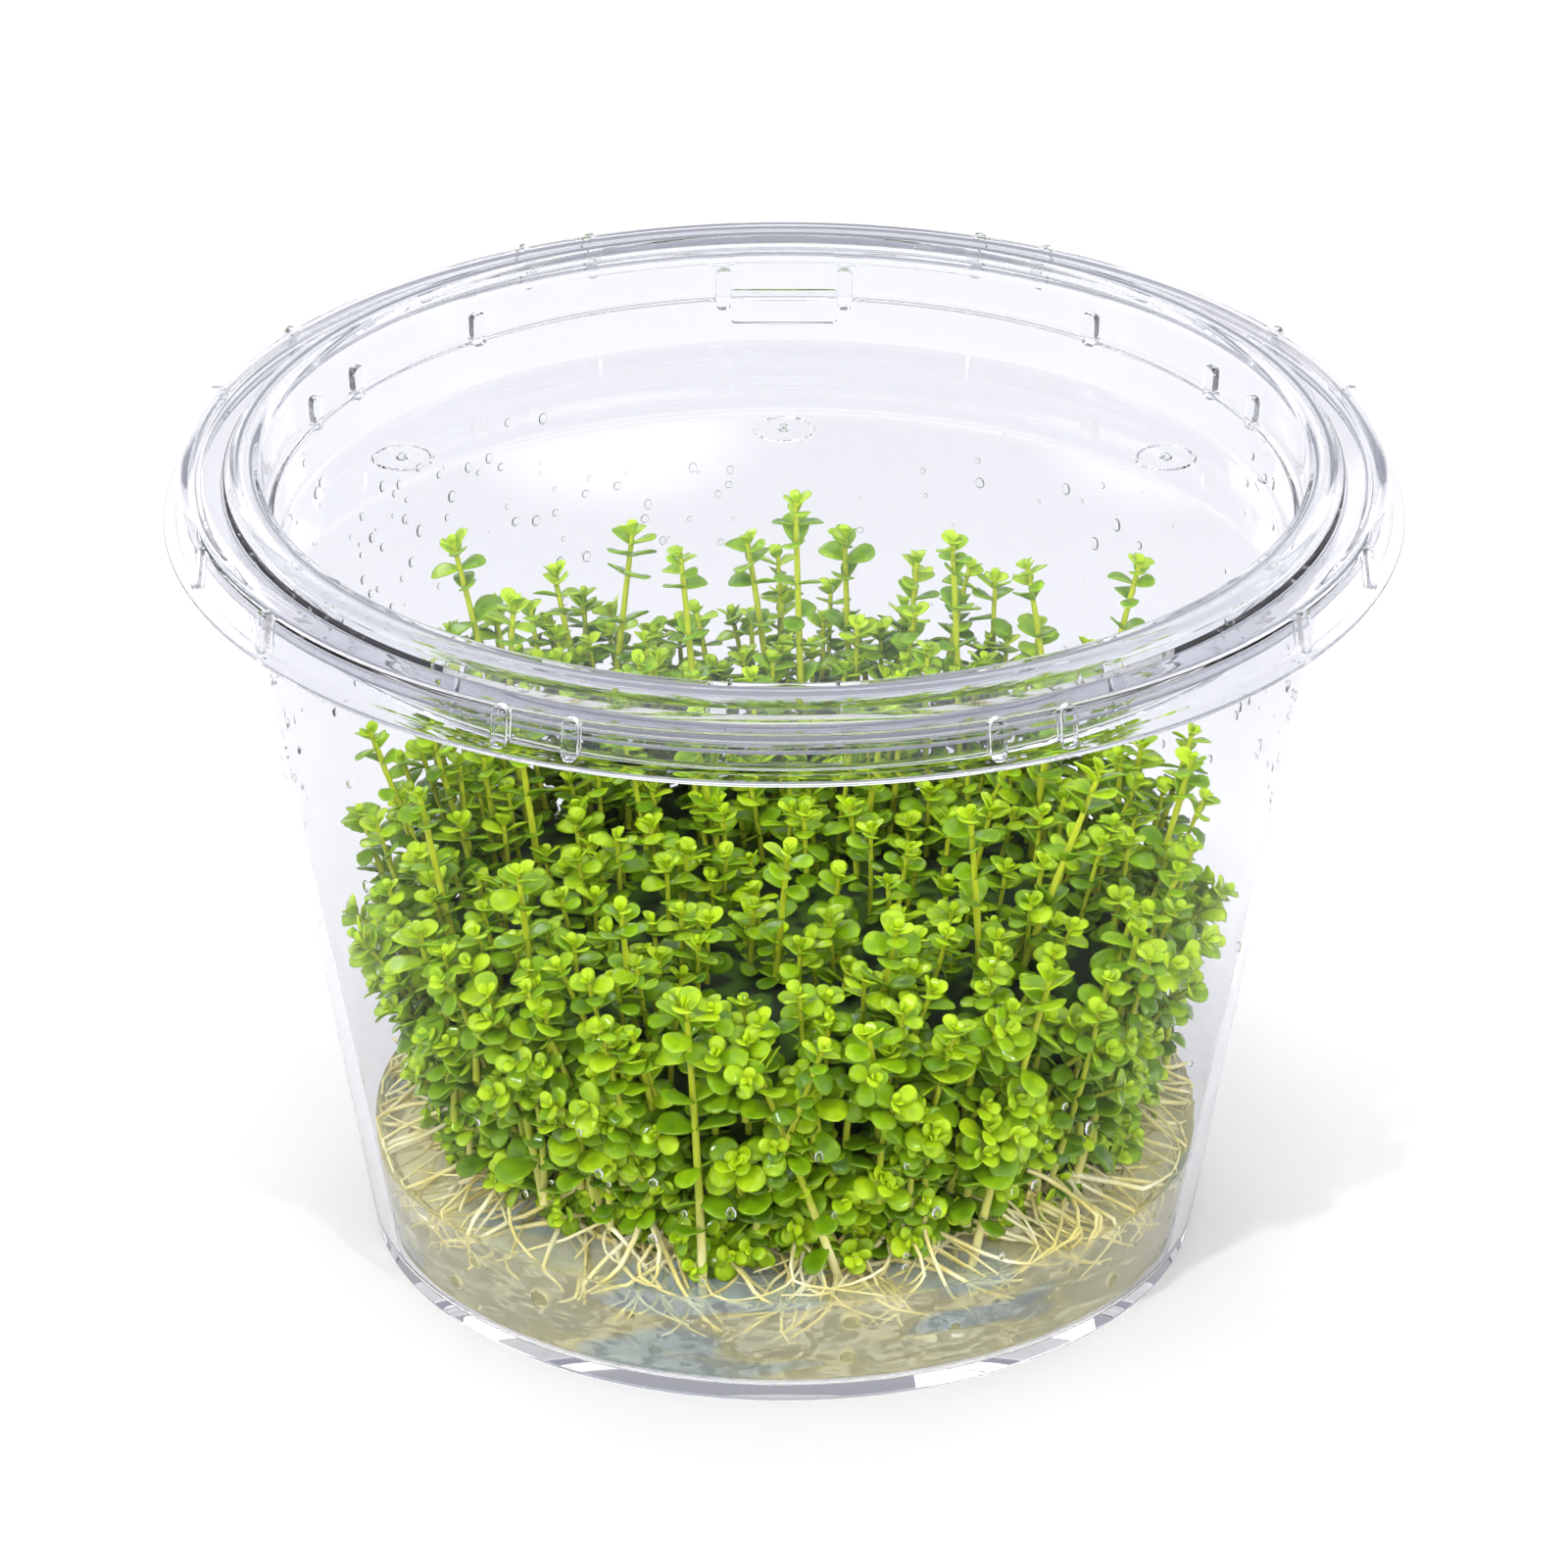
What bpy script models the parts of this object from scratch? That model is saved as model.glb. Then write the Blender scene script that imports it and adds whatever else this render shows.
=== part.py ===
"""Tissue culture cup of pearlweed.

A clear round cup with its press-on lid holds a bed of nutrient gel, the roots that spread over
the gel, the packed carpet of small leafy stems and the taller shoots that stand above it.
Metres, +Z up, front towards -Y, origin under the middle of the base.
"""

import math

import bmesh
import bpy
from mathutils import Matrix, Vector, noise
from mathutils.bvhtree import BVHTree

MM = 0.001

# Driving dimensions, in millimetres
FACETS = 48             # round the cup, the lid and the gel
GAP = 0.3               # left between pieces that touch on the real thing

CUP_BASE_R = 39.4       # the wall's line, carried down to the floor
CUP_TAPER = 0.1735      # growth of the radius with height
CUP_WALL = 1.2
CUP_FLOOR = 1.4
CUP_CORNER = 1.8        # rounding under the wall
RIM_TOP = 77.9
RIM_R = 55.7
RIM_THICK = 0.9
RIM_LIP = 2.0           # how far the rim turns down

LID_THICK = 0.6
LID_PANEL_Z = 70.6
LID_PANEL_R = 46.7
LID_LEDGE_Z = 74.7
LID_WELL_R = 49.3       # at the top of the well's wall
LID_BEAD_Z = 80.3
LID_LAND_Z = 79.0
LID_R = 56.85           # at the top of the skirt
LID_FLANGE_R = 58.5
LID_FLANGE_Z = 74.4

RIB_ANGLES = (19.6, 26.6, 56.3, 71.5)           # from the front or the back, to both sides
RIB_SIZE = (1.5, 1.3, 3.4)                      # across, in depth, high
LUG_ANGLES = (37.7, 57.6, 67.0)                 # from the back or the front, to both sides
LUG_SIZE = (1.7, 1.0, 3.2)
TAB_SIZE = (10.5, 0.9, 3.2)
VENT_PLACES = ((-36.5, 19.2), (0.0, 25.7), (36.5, 19.2))
VENT_R = 2.9

GEL_TOP = 10.7
GEL_MENISCUS = 0.6
ROOT_TOP = 14.6
ROOT_R = 37.4
CARPET_FOOT = ROOT_TOP + GAP + 0.4
CARPET_FOOT_R = 35.5
CARPET_SPREAD = 0.55    # how fast the carpet widens above its foot
CARPET_SPARE = 1.0      # between the carpet and the cup's wall
CARPET_TOP = 43.4
CARPET_CORNER = 2.0     # how far below its top the carpet reaches its full width
CARPET_TILT = 0.06      # how fast the carpet's top rises towards the back

STEM = 0.95             # side of the stem's section
LEAF = 3.7              # length of a grown leaf
LEAF_SPACING = 4.4      # from one pair of leaves to the next
LEAF_RINGS = ((0.50, 0.72, 0.20), (1.0, 0.30, 0.08))   # reach, width and thickness over length

# Tips of the tall shoots, then how far each one's foot stands from under its tip
SHOOTS = (
    ((-32.0, 26.0, 58.0), (3.0, -2.0)),
    ((-26.0, 17.0, 56.0), (-1.0, -1.0)),
    ((-22.4, 31.0, 52.4), (2.0, -1.5)),
    ((-14.7, 30.0, 57.4), (-1.5, -1.5)),
    ((-10.0, 20.5, 59.5), (1.0, 0.5)),
    ((-3.6, 31.5, 55.8), (1.5, -1.0)),
    ((1.1, 23.5, 63.6), (0.5, 0.0)),
    ((5.9, 33.0, 55.6), (0.5, -1.0)),
    ((13.0, 31.0, 54.0), (-1.0, -1.0)),
    ((16.2, 21.0, 60.6), (0.5, 0.5)),
    ((23.6, 27.0, 55.2), (1.5, -1.5)),
    ((34.2, 18.5, 59.4), (-3.0, 0.5)),
    ((-39.2, 3.0, 50.6), (2.0, 0.5)),
    ((38.4, -1.0, 49.4), (-1.5, 0.5)),
    ((0.4, -23.0, 50.6), (-0.5, 1.5)),
    ((-24.6, -25.0, 49.2), (0.5, 1.0)),
    ((-15.0, -31.5, 48.6), (0.5, 1.5)),
    ((17.2, -22.0, 54.0), (0.5, 1.5)),
    ((-34.0, -13.0, 51.4), (1.5, 0.5)),
    ((10.4, -33.5, 47.6), (-0.5, 2.0)),
    ((29.5, -14.5, 55.0), (-4.0, -1.5)),
    ((-8.5, 3.0, 50.4), (1.0, 1.0)),
    ((9.5, 5.0, 51.2), (-1.0, 1.0)),
    ((-25.5, 4.0, 51.8), (1.0, -0.5)),
    ((25.5, 6.0, 52.6), (-1.0, 0.5)),
)


# The scene and its materials

def clear_scene():
    for obj in list(bpy.data.objects):
        bpy.data.objects.remove(obj, do_unlink=True)


def make_collection(name):
    collection = bpy.data.collections.new(name)
    bpy.context.scene.collection.children.link(collection)
    return collection


def material(name, colour, roughness, see_through=0.0, ior=1.5):
    mat = bpy.data.materials.new(name)
    mat.use_nodes = True
    shader = mat.node_tree.nodes["Principled BSDF"]
    shader.inputs["Base Color"].default_value = (*colour, 1.0)
    shader.inputs["Roughness"].default_value = roughness
    shader.inputs["Metallic"].default_value = 0.0
    shader.inputs["Transmission Weight"].default_value = see_through
    shader.inputs["IOR"].default_value = ior
    return mat


def add_object(name, bm, collection, mat):
    mesh = bpy.data.meshes.new(name)
    bm.to_mesh(mesh)
    bm.free()
    mesh.materials.append(mat)
    obj = bpy.data.objects.new(name, mesh)
    collection.objects.link(obj)
    return obj


# Turned pieces

def arc(centre, radius, start, end, count):
    """Points on an arc in the section's plane, angles in degrees from the outward direction."""
    points = []
    for i in range(count):
        angle = math.radians(start + (end - start) * i / (count - 1))
        points.append((centre[0] + radius * math.cos(angle), centre[1] + radius * math.sin(angle)))
    return points


def profile_mesh(points):
    bm = bmesh.new()
    verts = [bm.verts.new((r * MM, 0.0, z * MM)) for r, z in points]
    for first, second in zip(verts, verts[1:]):
        bm.edges.new((first, second))
    return bm


def turned(name, points, collection, mat):
    obj = add_object(name, profile_mesh(points), collection, mat)
    screw = obj.modifiers.new("Turn", "SCREW")
    screw.axis = "Z"
    screw.steps = FACETS
    screw.render_steps = FACETS
    screw.use_merge_vertices = True
    screw.merge_threshold = 0.000001
    screw.use_smooth_shade = False
    return obj


def wall_radius(z):
    """Outer radius of the cup's wall at a height."""
    return CUP_BASE_R + CUP_TAPER * z


def inner_radius(z):
    return wall_radius(z) - CUP_WALL


def cup_points():
    """The cup's section: inside from the middle of its floor, over the rim and down outside."""
    inner_corner = inner_radius(3.4) - 2.0
    under_rim = RIM_TOP - RIM_THICK
    outer_corner = wall_radius(CUP_CORNER) - CUP_CORNER
    points = [(0.0, CUP_FLOOR)]
    points += arc((inner_corner, CUP_FLOOR + 2.0), 2.0, -90.0, 0.0, 3)
    points += [(inner_radius(under_rim), under_rim), (inner_radius(RIM_TOP) + 0.6, RIM_TOP)]
    points += [(RIM_R - 0.4, RIM_TOP), (RIM_R, RIM_TOP - 0.4), (RIM_R, RIM_TOP - RIM_LIP)]
    points += [(RIM_R - 0.75, RIM_TOP - RIM_LIP), (RIM_R - 0.75, under_rim)]
    points += [(wall_radius(under_rim) + 0.5, under_rim), (wall_radius(under_rim - 0.5), under_rim - 0.5)]
    points += arc((outer_corner, CUP_CORNER), CUP_CORNER, 0.0, -90.0, 4)
    points += [(0.0, 0.0)]
    return points


def lid_points():
    """The lid's upper face: panel, well wall with its ledge, bead, land, skirt and flange."""
    points = [(0.0, LID_PANEL_Z), (LID_PANEL_R, LID_PANEL_Z)]
    points += [(LID_PANEL_R + 0.9, LID_PANEL_Z + 0.8), (LID_PANEL_R + 1.3, LID_LEDGE_Z - 0.2)]
    points += [(LID_WELL_R - 0.4, LID_LEDGE_Z + 0.2), (LID_WELL_R, LID_BEAD_Z - 1.0)]
    points += [(LID_WELL_R + 0.8, LID_BEAD_Z), (LID_WELL_R + 2.1, LID_BEAD_Z)]
    points += [(LID_WELL_R + 3.2, LID_LAND_Z), (LID_R - 2.2, LID_LAND_Z + 0.3)]
    points += [(LID_R - 0.7, LID_LAND_Z - 0.2), (LID_R, LID_LAND_Z - 1.3)]
    points += [(LID_R + 0.45, LID_FLANGE_Z + 0.6), (LID_FLANGE_R, LID_FLANGE_Z)]
    return points


def gel_points():
    """The gel's section: from the middle of its surface, up the meniscus and down the wall."""
    edge = GEL_TOP + GEL_MENISCUS
    foot = CUP_FLOOR + GAP
    corner = inner_radius(3.4) - 2.0 - GAP
    points = [(0.0, GEL_TOP), (inner_radius(edge) - GAP - 1.2, GEL_TOP)]
    points += [(inner_radius(edge) - GAP, edge)]
    points += arc((corner, foot + 2.0), 2.0, 0.0, -90.0, 3)
    points += [(0.0, foot)]
    return points


# The lid's small features, joined to it by one union

def placed_on_ring(angle, radius, z, lean=0.0):
    """A frame at a radius, its X along the ring and its Y outward; angle 0 is the front."""
    turn = Matrix.Rotation(math.radians(angle), 4, "Z")
    shift = Matrix.Translation((0.0, -radius * MM, z * MM))
    return turn @ shift @ Matrix.Rotation(math.radians(lean), 4, "X")


def add_block(bm, size, matrix):
    """A box of the given size in millimetres."""
    made = bmesh.ops.create_cube(bm, size=1.0)
    bmesh.ops.scale(bm, vec=Vector(size) * MM, verts=made["verts"])
    bmesh.ops.transform(bm, matrix=matrix, verts=made["verts"])


def mirrored(angles):
    """The same angles to both sides of the front and of the back."""
    return [side * turn for turn in angles for side in (1, -1)] + \
           [180 + side * turn for turn in angles for side in (1, -1)]


def add_ribs(bm):
    middle = (LID_LAND_Z - 1.3 + LID_FLANGE_Z + 0.6) / 2
    for angle in mirrored(RIB_ANGLES):
        add_block(bm, RIB_SIZE, placed_on_ring(angle, LID_R + 0.05, middle, lean=-8.0))


def add_lugs(bm):
    middle = LID_LEDGE_Z + 0.6
    for angle in mirrored(LUG_ANGLES):
        add_block(bm, LUG_SIZE, placed_on_ring(angle, LID_WELL_R - 0.6, middle))
    for angle in (0, 180):
        add_block(bm, TAB_SIZE, placed_on_ring(angle, LID_WELL_R - 1.2, middle - 2.0))


def add_vents(bm):
    """Three low discs on the panel, each with a small nib."""
    for x, y in VENT_PLACES:
        for radius, height in ((VENT_R, 0.25), (0.5, 0.55)):
            place = Matrix.Translation((x * MM, y * MM, (LID_PANEL_Z + height / 2 - 0.1) * MM))
            bmesh.ops.create_cone(bm, cap_ends=True, segments=12 if height < 0.3 else 6,
                                  radius1=radius * MM, radius2=(radius - 0.1) * MM,
                                  depth=(height + 0.2) * MM, matrix=place)


def make_feature(name, add, guides, mat):
    bm = bmesh.new()
    add(bm)
    obj = add_object(name, bm, guides, mat)
    obj.hide_render = True
    obj.display_type = "WIRE"
    return obj


def make_lid(collection, guides, mat):
    lid = turned("lid", lid_points(), collection, mat)
    solid = lid.modifiers.new("Thickness", "SOLIDIFY")
    solid.thickness = LID_THICK * MM
    solid.offset = -1.0
    solid.use_even_offset = True
    for name, add in (("ribs", add_ribs), ("lugs", add_lugs), ("vents", add_vents)):
        union = lid.modifiers.new("Join " + name, "BOOLEAN")
        union.operation = "UNION"
        union.solver = "EXACT"
        union.object = make_feature(name, add, guides, mat)
    return lid


# What grows in the cup

def spun(points, steps):
    """A closed lump turned from a profile whose two ends lie on the axis."""
    bm = profile_mesh(points)
    bmesh.ops.spin(bm, geom=bm.verts[:] + bm.edges[:], cent=(0, 0, 0), axis=(0, 0, 1),
                   angle=2 * math.pi, steps=steps, use_merge=True)
    bmesh.ops.remove_doubles(bm, verts=bm.verts, dist=0.000001)
    bmesh.ops.recalc_face_normals(bm, faces=bm.faces)
    return bm


def lump(bm, outward, upward, scale, seed):
    """Moves each vertex in and out and up and down by smooth noise, given in millimetres."""
    for vert in bm.verts:
        place = vert.co / MM / scale + Vector((seed, seed * 0.7, 0.0))
        flat = Vector((vert.co.x, vert.co.y, 0.0))
        vert.co += flat.normalized() * noise.noise(place) * outward * MM
        vert.co.z += noise.noise(place + Vector((0.0, 0.0, 31.0))) * upward * MM


def make_roots(collection, mat):
    """The tangle of roots that spreads over the gel, as one low pad with an uneven edge."""
    low = GEL_TOP + GAP
    points = [(0.0, ROOT_TOP - 0.6), (ROOT_R - 6.0, ROOT_TOP - 0.5), (ROOT_R - 1.5, ROOT_TOP - 1.0)]
    points += [(ROOT_R, low + 1.4), (ROOT_R - 0.6, low), (0.0, low)]
    bm = spun(points, 36)
    for vert in bm.verts:
        if vert.co.z > (low + 0.1) * MM:
            wave = noise.noise(vert.co / MM / 5.0)
            vert.co.z += wave * 0.5 * MM
        vert.co.xy *= 1.0 + 0.06 * noise.noise(Vector((vert.co.x, vert.co.y, 0.0)) / MM / 9.0)
    return add_object("roots", bm, collection, mat)


def carpet_radius(z):
    """The carpet fans out from its foot until it nears the wall."""
    return min(inner_radius(z) - CARPET_SPARE, CARPET_FOOT_R + CARPET_SPREAD * (z - CARPET_FOOT))


def carpet_points():
    corner = CARPET_TOP - CARPET_CORNER
    points = [(r, CARPET_TOP) for r in (0.0, 11.0, 22.0, 33.0)]
    points += [(carpet_radius(corner) - 3.0, CARPET_TOP - 0.4), (carpet_radius(corner), corner)]
    for share in (0.3, 0.55, 0.7, 0.85):
        z = corner - share * (corner - CARPET_FOOT)
        points.append((carpet_radius(z), z))
    points += [(CARPET_FOOT_R, CARPET_FOOT + 1.0), (CARPET_FOOT_R - 1.5, CARPET_FOOT), (0.0, CARPET_FOOT)]
    return points


def make_carpet(collection, mat):
    """The packed lower stems and leaves of the whole stand, as one lumpy solid."""
    bm = spun(carpet_points(), 40)
    floor_z = (CARPET_FOOT + 0.1) * MM
    low = [v for v in bm.verts if v.co.z < floor_z]
    kept = {v: v.co.z for v in low}
    lump(bm, outward=2.6, upward=3.4, scale=7.0, seed=4.0)
    for vert, z in kept.items():
        vert.co.z = z
    for vert in bm.verts:
        share = (vert.co.z / MM - CARPET_FOOT) / (CARPET_TOP - CARPET_FOOT)
        vert.co.z += CARPET_TILT * vert.co.y * max(0.0, share)
        most = (inner_radius(vert.co.z / MM) - 0.8) * MM
        vert.co.xy *= min(1.0, most / max(vert.co.xy.length, MM))
    return add_object("pearlweed_carpet", bm, collection, mat)


def place_corners(face, middle, across, lift, width, thick):
    """Sets a four-sided face upright round its middle, keeping each corner on its own side."""
    centre = face.calc_center_median()
    for vert in face.verts:
        offset = vert.co - centre
        side = math.copysign(0.5, offset.dot(across))
        height = math.copysign(0.5, offset.dot(lift))
        vert.co = middle + across * side * width + lift * height * thick


def grow_leaf(bm, face, length, rise):
    """Draws one oval leaf out of a side of the stem."""
    outward = face.normal.copy()
    across = Vector((0.0, 0.0, 1.0)).cross(outward)
    along = outward * math.cos(rise) + Vector((0.0, 0.0, 1.0)) * math.sin(rise)
    lift = along.cross(across)
    if lift.z < 0.0:
        lift = -lift
    start = face.calc_center_median()
    for reach, width, thick in LEAF_RINGS:
        middle = start + along * reach * length
        face = bmesh.ops.extrude_discrete_faces(bm, faces=[face])["faces"][0]
        place_corners(face, middle, across, lift, width * length, thick * length)


def extrude_stem(bm, top, height):
    top = bmesh.ops.extrude_discrete_faces(bm, faces=[top])["faces"][0]
    bmesh.ops.translate(bm, vec=(0.0, 0.0, height), verts=top.verts)
    bm.normal_update()
    return top


def side_faces(top):
    """The four faces that stand round the top face, in turn."""
    return [next(f for f in edge.link_faces if f is not top) for edge in top.edges]


def grow_shoot(length):
    """A square stem along +Z with crossed pairs of leaves, smaller and steeper towards the tip."""
    pairs = max(2, round(length / (LEAF_SPACING * MM)))
    bm = bmesh.new()
    lead = 0.42 * length / pairs
    bmesh.ops.create_cube(bm, size=1.0, matrix=Matrix.Translation((0, 0, 0.5)))
    bmesh.ops.scale(bm, vec=(STEM * MM, STEM * MM, lead), verts=bm.verts)
    bm.normal_update()
    top = max(bm.faces, key=lambda f: f.calc_center_median().z)
    height = lead
    node = 0.6 * MM
    for i in range(pairs):
        share = (i + 1) / pairs
        top = extrude_stem(bm, top, node)
        ring = side_faces(top)
        for face in ring[i % 2::2]:
            grow_leaf(bm, face, LEAF * MM * (1.0 - 0.25 * share), math.radians(12 + 30 * share))
        step = (length - lead) * (1.0 - 0.35 * share) / (pairs * 0.82) - node
        if i < pairs - 1:
            top = extrude_stem(bm, top, max(step, 0.8 * MM))
            height += node + max(step, 0.8 * MM)
    top = extrude_stem(bm, top, 0.5 * MM)
    bmesh.ops.scale(bm, vec=(0.6, 0.6, 1.0), verts=top.verts)
    return bm


def surface_height(tree, x, y):
    """Height of the carpet's surface over a place, in metres."""
    hit = tree.ray_cast(Vector((x * MM, y * MM, 0.1)), Vector((0.0, 0.0, -1.0)))
    return hit[0].z


def make_shoots(collection, carpet, mat):
    tree = BVHTree.FromObject(carpet, bpy.context.evaluated_depsgraph_get())
    for number, (tip, lean) in enumerate(SHOOTS, start=1):
        x, y = tip[0] + lean[0], tip[1] + lean[1]
        foot = Vector((x * MM, y * MM, surface_height(tree, x, y) + 0.9 * MM))
        axis = Vector(tip) * MM - foot
        bm = grow_shoot(axis.length)
        turn = Vector((0.0, 0.0, 1.0)).rotation_difference(axis).to_matrix().to_4x4()
        spin = Matrix.Rotation(math.radians(37 * number), 4, "Z")
        bmesh.ops.transform(bm, matrix=turn @ spin, verts=bm.verts)
        shoot = add_object("shoot_%02d" % number, bm, collection, mat)
        shoot.location = foot


def main():
    clear_scene()
    parts = make_collection("tissue_culture_pearlweed")
    guides = make_collection("guides")
    plastic = material("clear_plastic", (0.93, 0.94, 0.97), 0.05, see_through=1.0, ior=1.5)
    jelly = material("nutrient_gel", (0.93, 0.91, 0.78), 0.08, see_through=0.9, ior=1.34)
    ivory = material("root_ivory", (0.80, 0.72, 0.45), 0.5)
    leaf = material("pearlweed_leaf", (0.16, 0.38, 0.03), 0.4)
    bright = material("pearlweed_young_leaf", (0.30, 0.55, 0.05), 0.35)
    turned("cup", cup_points(), parts, plastic)
    make_lid(parts, guides, plastic)
    turned("gel", gel_points(), parts, jelly)
    make_roots(parts, ivory)
    carpet = make_carpet(parts, leaf)
    bpy.context.view_layer.update()
    make_shoots(parts, carpet, bright)


main()
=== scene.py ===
# %% [markdown]
# # A culture cup of pearlweed
#
# Pearlweed for aquariums is raised from tissue culture in a clear plastic cup: a bed of nutrient
# gel on the floor, roots spreading over the gel, and a dense carpet of small leafy stems that grows
# up towards a press-on lid. The CAD frame gives the size of every piece. This script builds what
# light has to do with: smooth clear plastic, the gel, thousands of glossy leaves, and the drops of
# water that condense inside a closed cup.

import math
import random

import bmesh
import bpy
import numpy as np
from mathutils import Matrix, Vector, noise
from mathutils.bvhtree import BVHTree


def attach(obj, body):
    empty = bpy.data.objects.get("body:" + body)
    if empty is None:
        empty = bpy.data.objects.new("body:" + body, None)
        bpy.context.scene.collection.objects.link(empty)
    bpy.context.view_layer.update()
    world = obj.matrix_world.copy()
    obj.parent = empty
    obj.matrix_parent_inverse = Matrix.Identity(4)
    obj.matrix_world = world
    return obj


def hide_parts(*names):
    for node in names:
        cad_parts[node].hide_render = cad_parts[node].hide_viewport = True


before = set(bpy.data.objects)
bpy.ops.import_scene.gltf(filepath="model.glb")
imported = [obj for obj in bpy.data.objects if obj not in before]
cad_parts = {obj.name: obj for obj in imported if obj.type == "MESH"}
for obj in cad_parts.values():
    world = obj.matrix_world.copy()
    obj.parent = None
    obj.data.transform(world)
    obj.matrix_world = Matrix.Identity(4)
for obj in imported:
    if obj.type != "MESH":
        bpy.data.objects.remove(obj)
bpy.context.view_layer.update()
MM = 0.001
print("CAD nodes:", len(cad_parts))

# %% [markdown]
# Every piece ends as one mesh whose object sits at the origin. Two helpers cover that: one turns a
# bmesh into a piece, the other says which CAD nodes the piece stands for. Edges that turn sharply
# are marked sharp, so that smooth shading keeps the real creases of moulded plastic.

# %% Pieces
SHARP = math.radians(38)


def count_triangles(mesh):
    return sum(len(face.vertices) - 2 for face in mesh.polygons)


def piece_from_bmesh(name, bm, material, sharp=SHARP):
    """Makes a smooth-shaded mesh object from a bmesh."""
    for face in bm.faces:
        face.smooth = True
    for edge in bm.edges:
        edge.smooth = edge.calc_face_angle(0.0) < sharp
    mesh = bpy.data.meshes.new(name)
    bm.to_mesh(mesh)
    bm.free()
    mesh.materials.append(material)
    obj = bpy.data.objects.new(name, mesh)
    bpy.context.collection.objects.link(obj)
    return obj


def settle(obj, slot, *nodes):
    """The piece rides on the one body and stands for CAD nodes. The slot argument is not used."""
    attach(obj, "root")
    if nodes:
        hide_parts(*nodes)
    print(obj.name, count_triangles(obj.data), "triangles")


# %% [markdown]
# ## Materials
#
# Clear plastic is the plain glass of the Principled shader. A lamp's shadow ray can't bend through
# glass, so a cup of pure glass would stand in its own black shadow. Mixing in a Transparent shader
# for shadow rays alone lets the studio light reach the plants, as it does through a thin clear wall.
# The specular tint holds back the mirror image of the white floor, which would veil the greens. On
# the cup, a Refraction shader takes over wherever light can cross the surface, so the wall has
# little glare, as behind a photographer's polarising filter. Where light can't get out, the Fresnel
# value is 1 and the glass stays, because that trapped light draws the bright lines of the rims. The
# cup's wall is twice as thick as the lid, so it takes more of the light that crosses it.

# %% Clear materials
def new_material(name):
    mat = bpy.data.materials.new(name)
    mat.use_nodes = True
    return mat, mat.node_tree.nodes, mat.node_tree.links, mat.node_tree.nodes["Principled BSDF"]


GLARE_LEFT = 0.2


def without_glare(mat):
    """The material's Principled shader, but mostly refraction alone where light can cross."""
    nodes = mat.node_tree.nodes
    links = mat.node_tree.links
    glass = nodes["Principled BSDF"]
    bend = nodes.new("ShaderNodeBsdfRefraction")
    colour = glass.inputs["Base Color"].default_value
    bend.inputs["Color"].default_value = [math.sqrt(value) for value in colour]
    bend.inputs["Roughness"].default_value = 0.0
    bend.inputs["IOR"].default_value = glass.inputs["IOR"].default_value
    fresnel = nodes.new("ShaderNodeFresnel")
    fresnel.inputs["IOR"].default_value = glass.inputs["IOR"].default_value
    trapped = nodes.new("ShaderNodeMapRange")
    trapped.inputs["From Min"].default_value = 0.9
    trapped.inputs["To Min"].default_value = GLARE_LEFT
    links.new(fresnel.outputs["Fac"], trapped.inputs["Value"])
    mix = nodes.new("ShaderNodeMixShader")
    links.new(trapped.outputs["Result"], mix.inputs["Fac"])
    links.new(bend.outputs["BSDF"], mix.inputs[1])
    links.new(glass.outputs["BSDF"], mix.inputs[2])
    return mix.outputs["Shader"]


def let_light_through(mat, tint, surface=None):
    """Shadow rays pass the surface, dimmed to a tint."""
    nodes = mat.node_tree.nodes
    links = mat.node_tree.links
    clear = nodes.new("ShaderNodeBsdfTransparent")
    clear.inputs["Color"].default_value = (*tint, 1.0)
    path = nodes.new("ShaderNodeLightPath")
    mix = nodes.new("ShaderNodeMixShader")
    links.new(path.outputs["Is Shadow Ray"], mix.inputs["Fac"])
    links.new(surface or nodes["Principled BSDF"].outputs["BSDF"], mix.inputs[1])
    links.new(clear.outputs["BSDF"], mix.inputs[2])
    links.new(mix.outputs["Shader"], nodes["Material Output"].inputs["Surface"])


def see_through(name, colour, ior, mirror, shadow_tint, glare=True):
    mat, nodes, links, shader = new_material(name)
    shader.inputs["Base Color"].default_value = (*colour, 1.0)
    shader.inputs["Roughness"].default_value = 0.0
    shader.inputs["IOR"].default_value = ior
    shader.inputs["Specular Tint"].default_value = (mirror, mirror, mirror, 1.0)
    shader.inputs["Transmission Weight"].default_value = 1.0
    let_light_through(mat, shadow_tint, None if glare else without_glare(mat))
    return mat


PLASTIC_IOR = 1.43
PLASTIC_SHADOW = (0.97, 0.97, 0.98)
CUP_PLASTIC = see_through("cup_plastic", (0.86, 0.86, 0.878), PLASTIC_IOR, 0.05, PLASTIC_SHADOW, glare=False)
LID_PLASTIC = see_through("lid_plastic", (0.950, 0.956, 0.974), PLASTIC_IOR, 0.05, PLASTIC_SHADOW)
WATER = see_through("water_drop", (1.0, 1.0, 1.0), 1.33, 1.0, (0.99, 0.99, 0.99))
print("clear materials:", CUP_PLASTIC.name, LID_PLASTIC.name, WATER.name)
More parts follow.
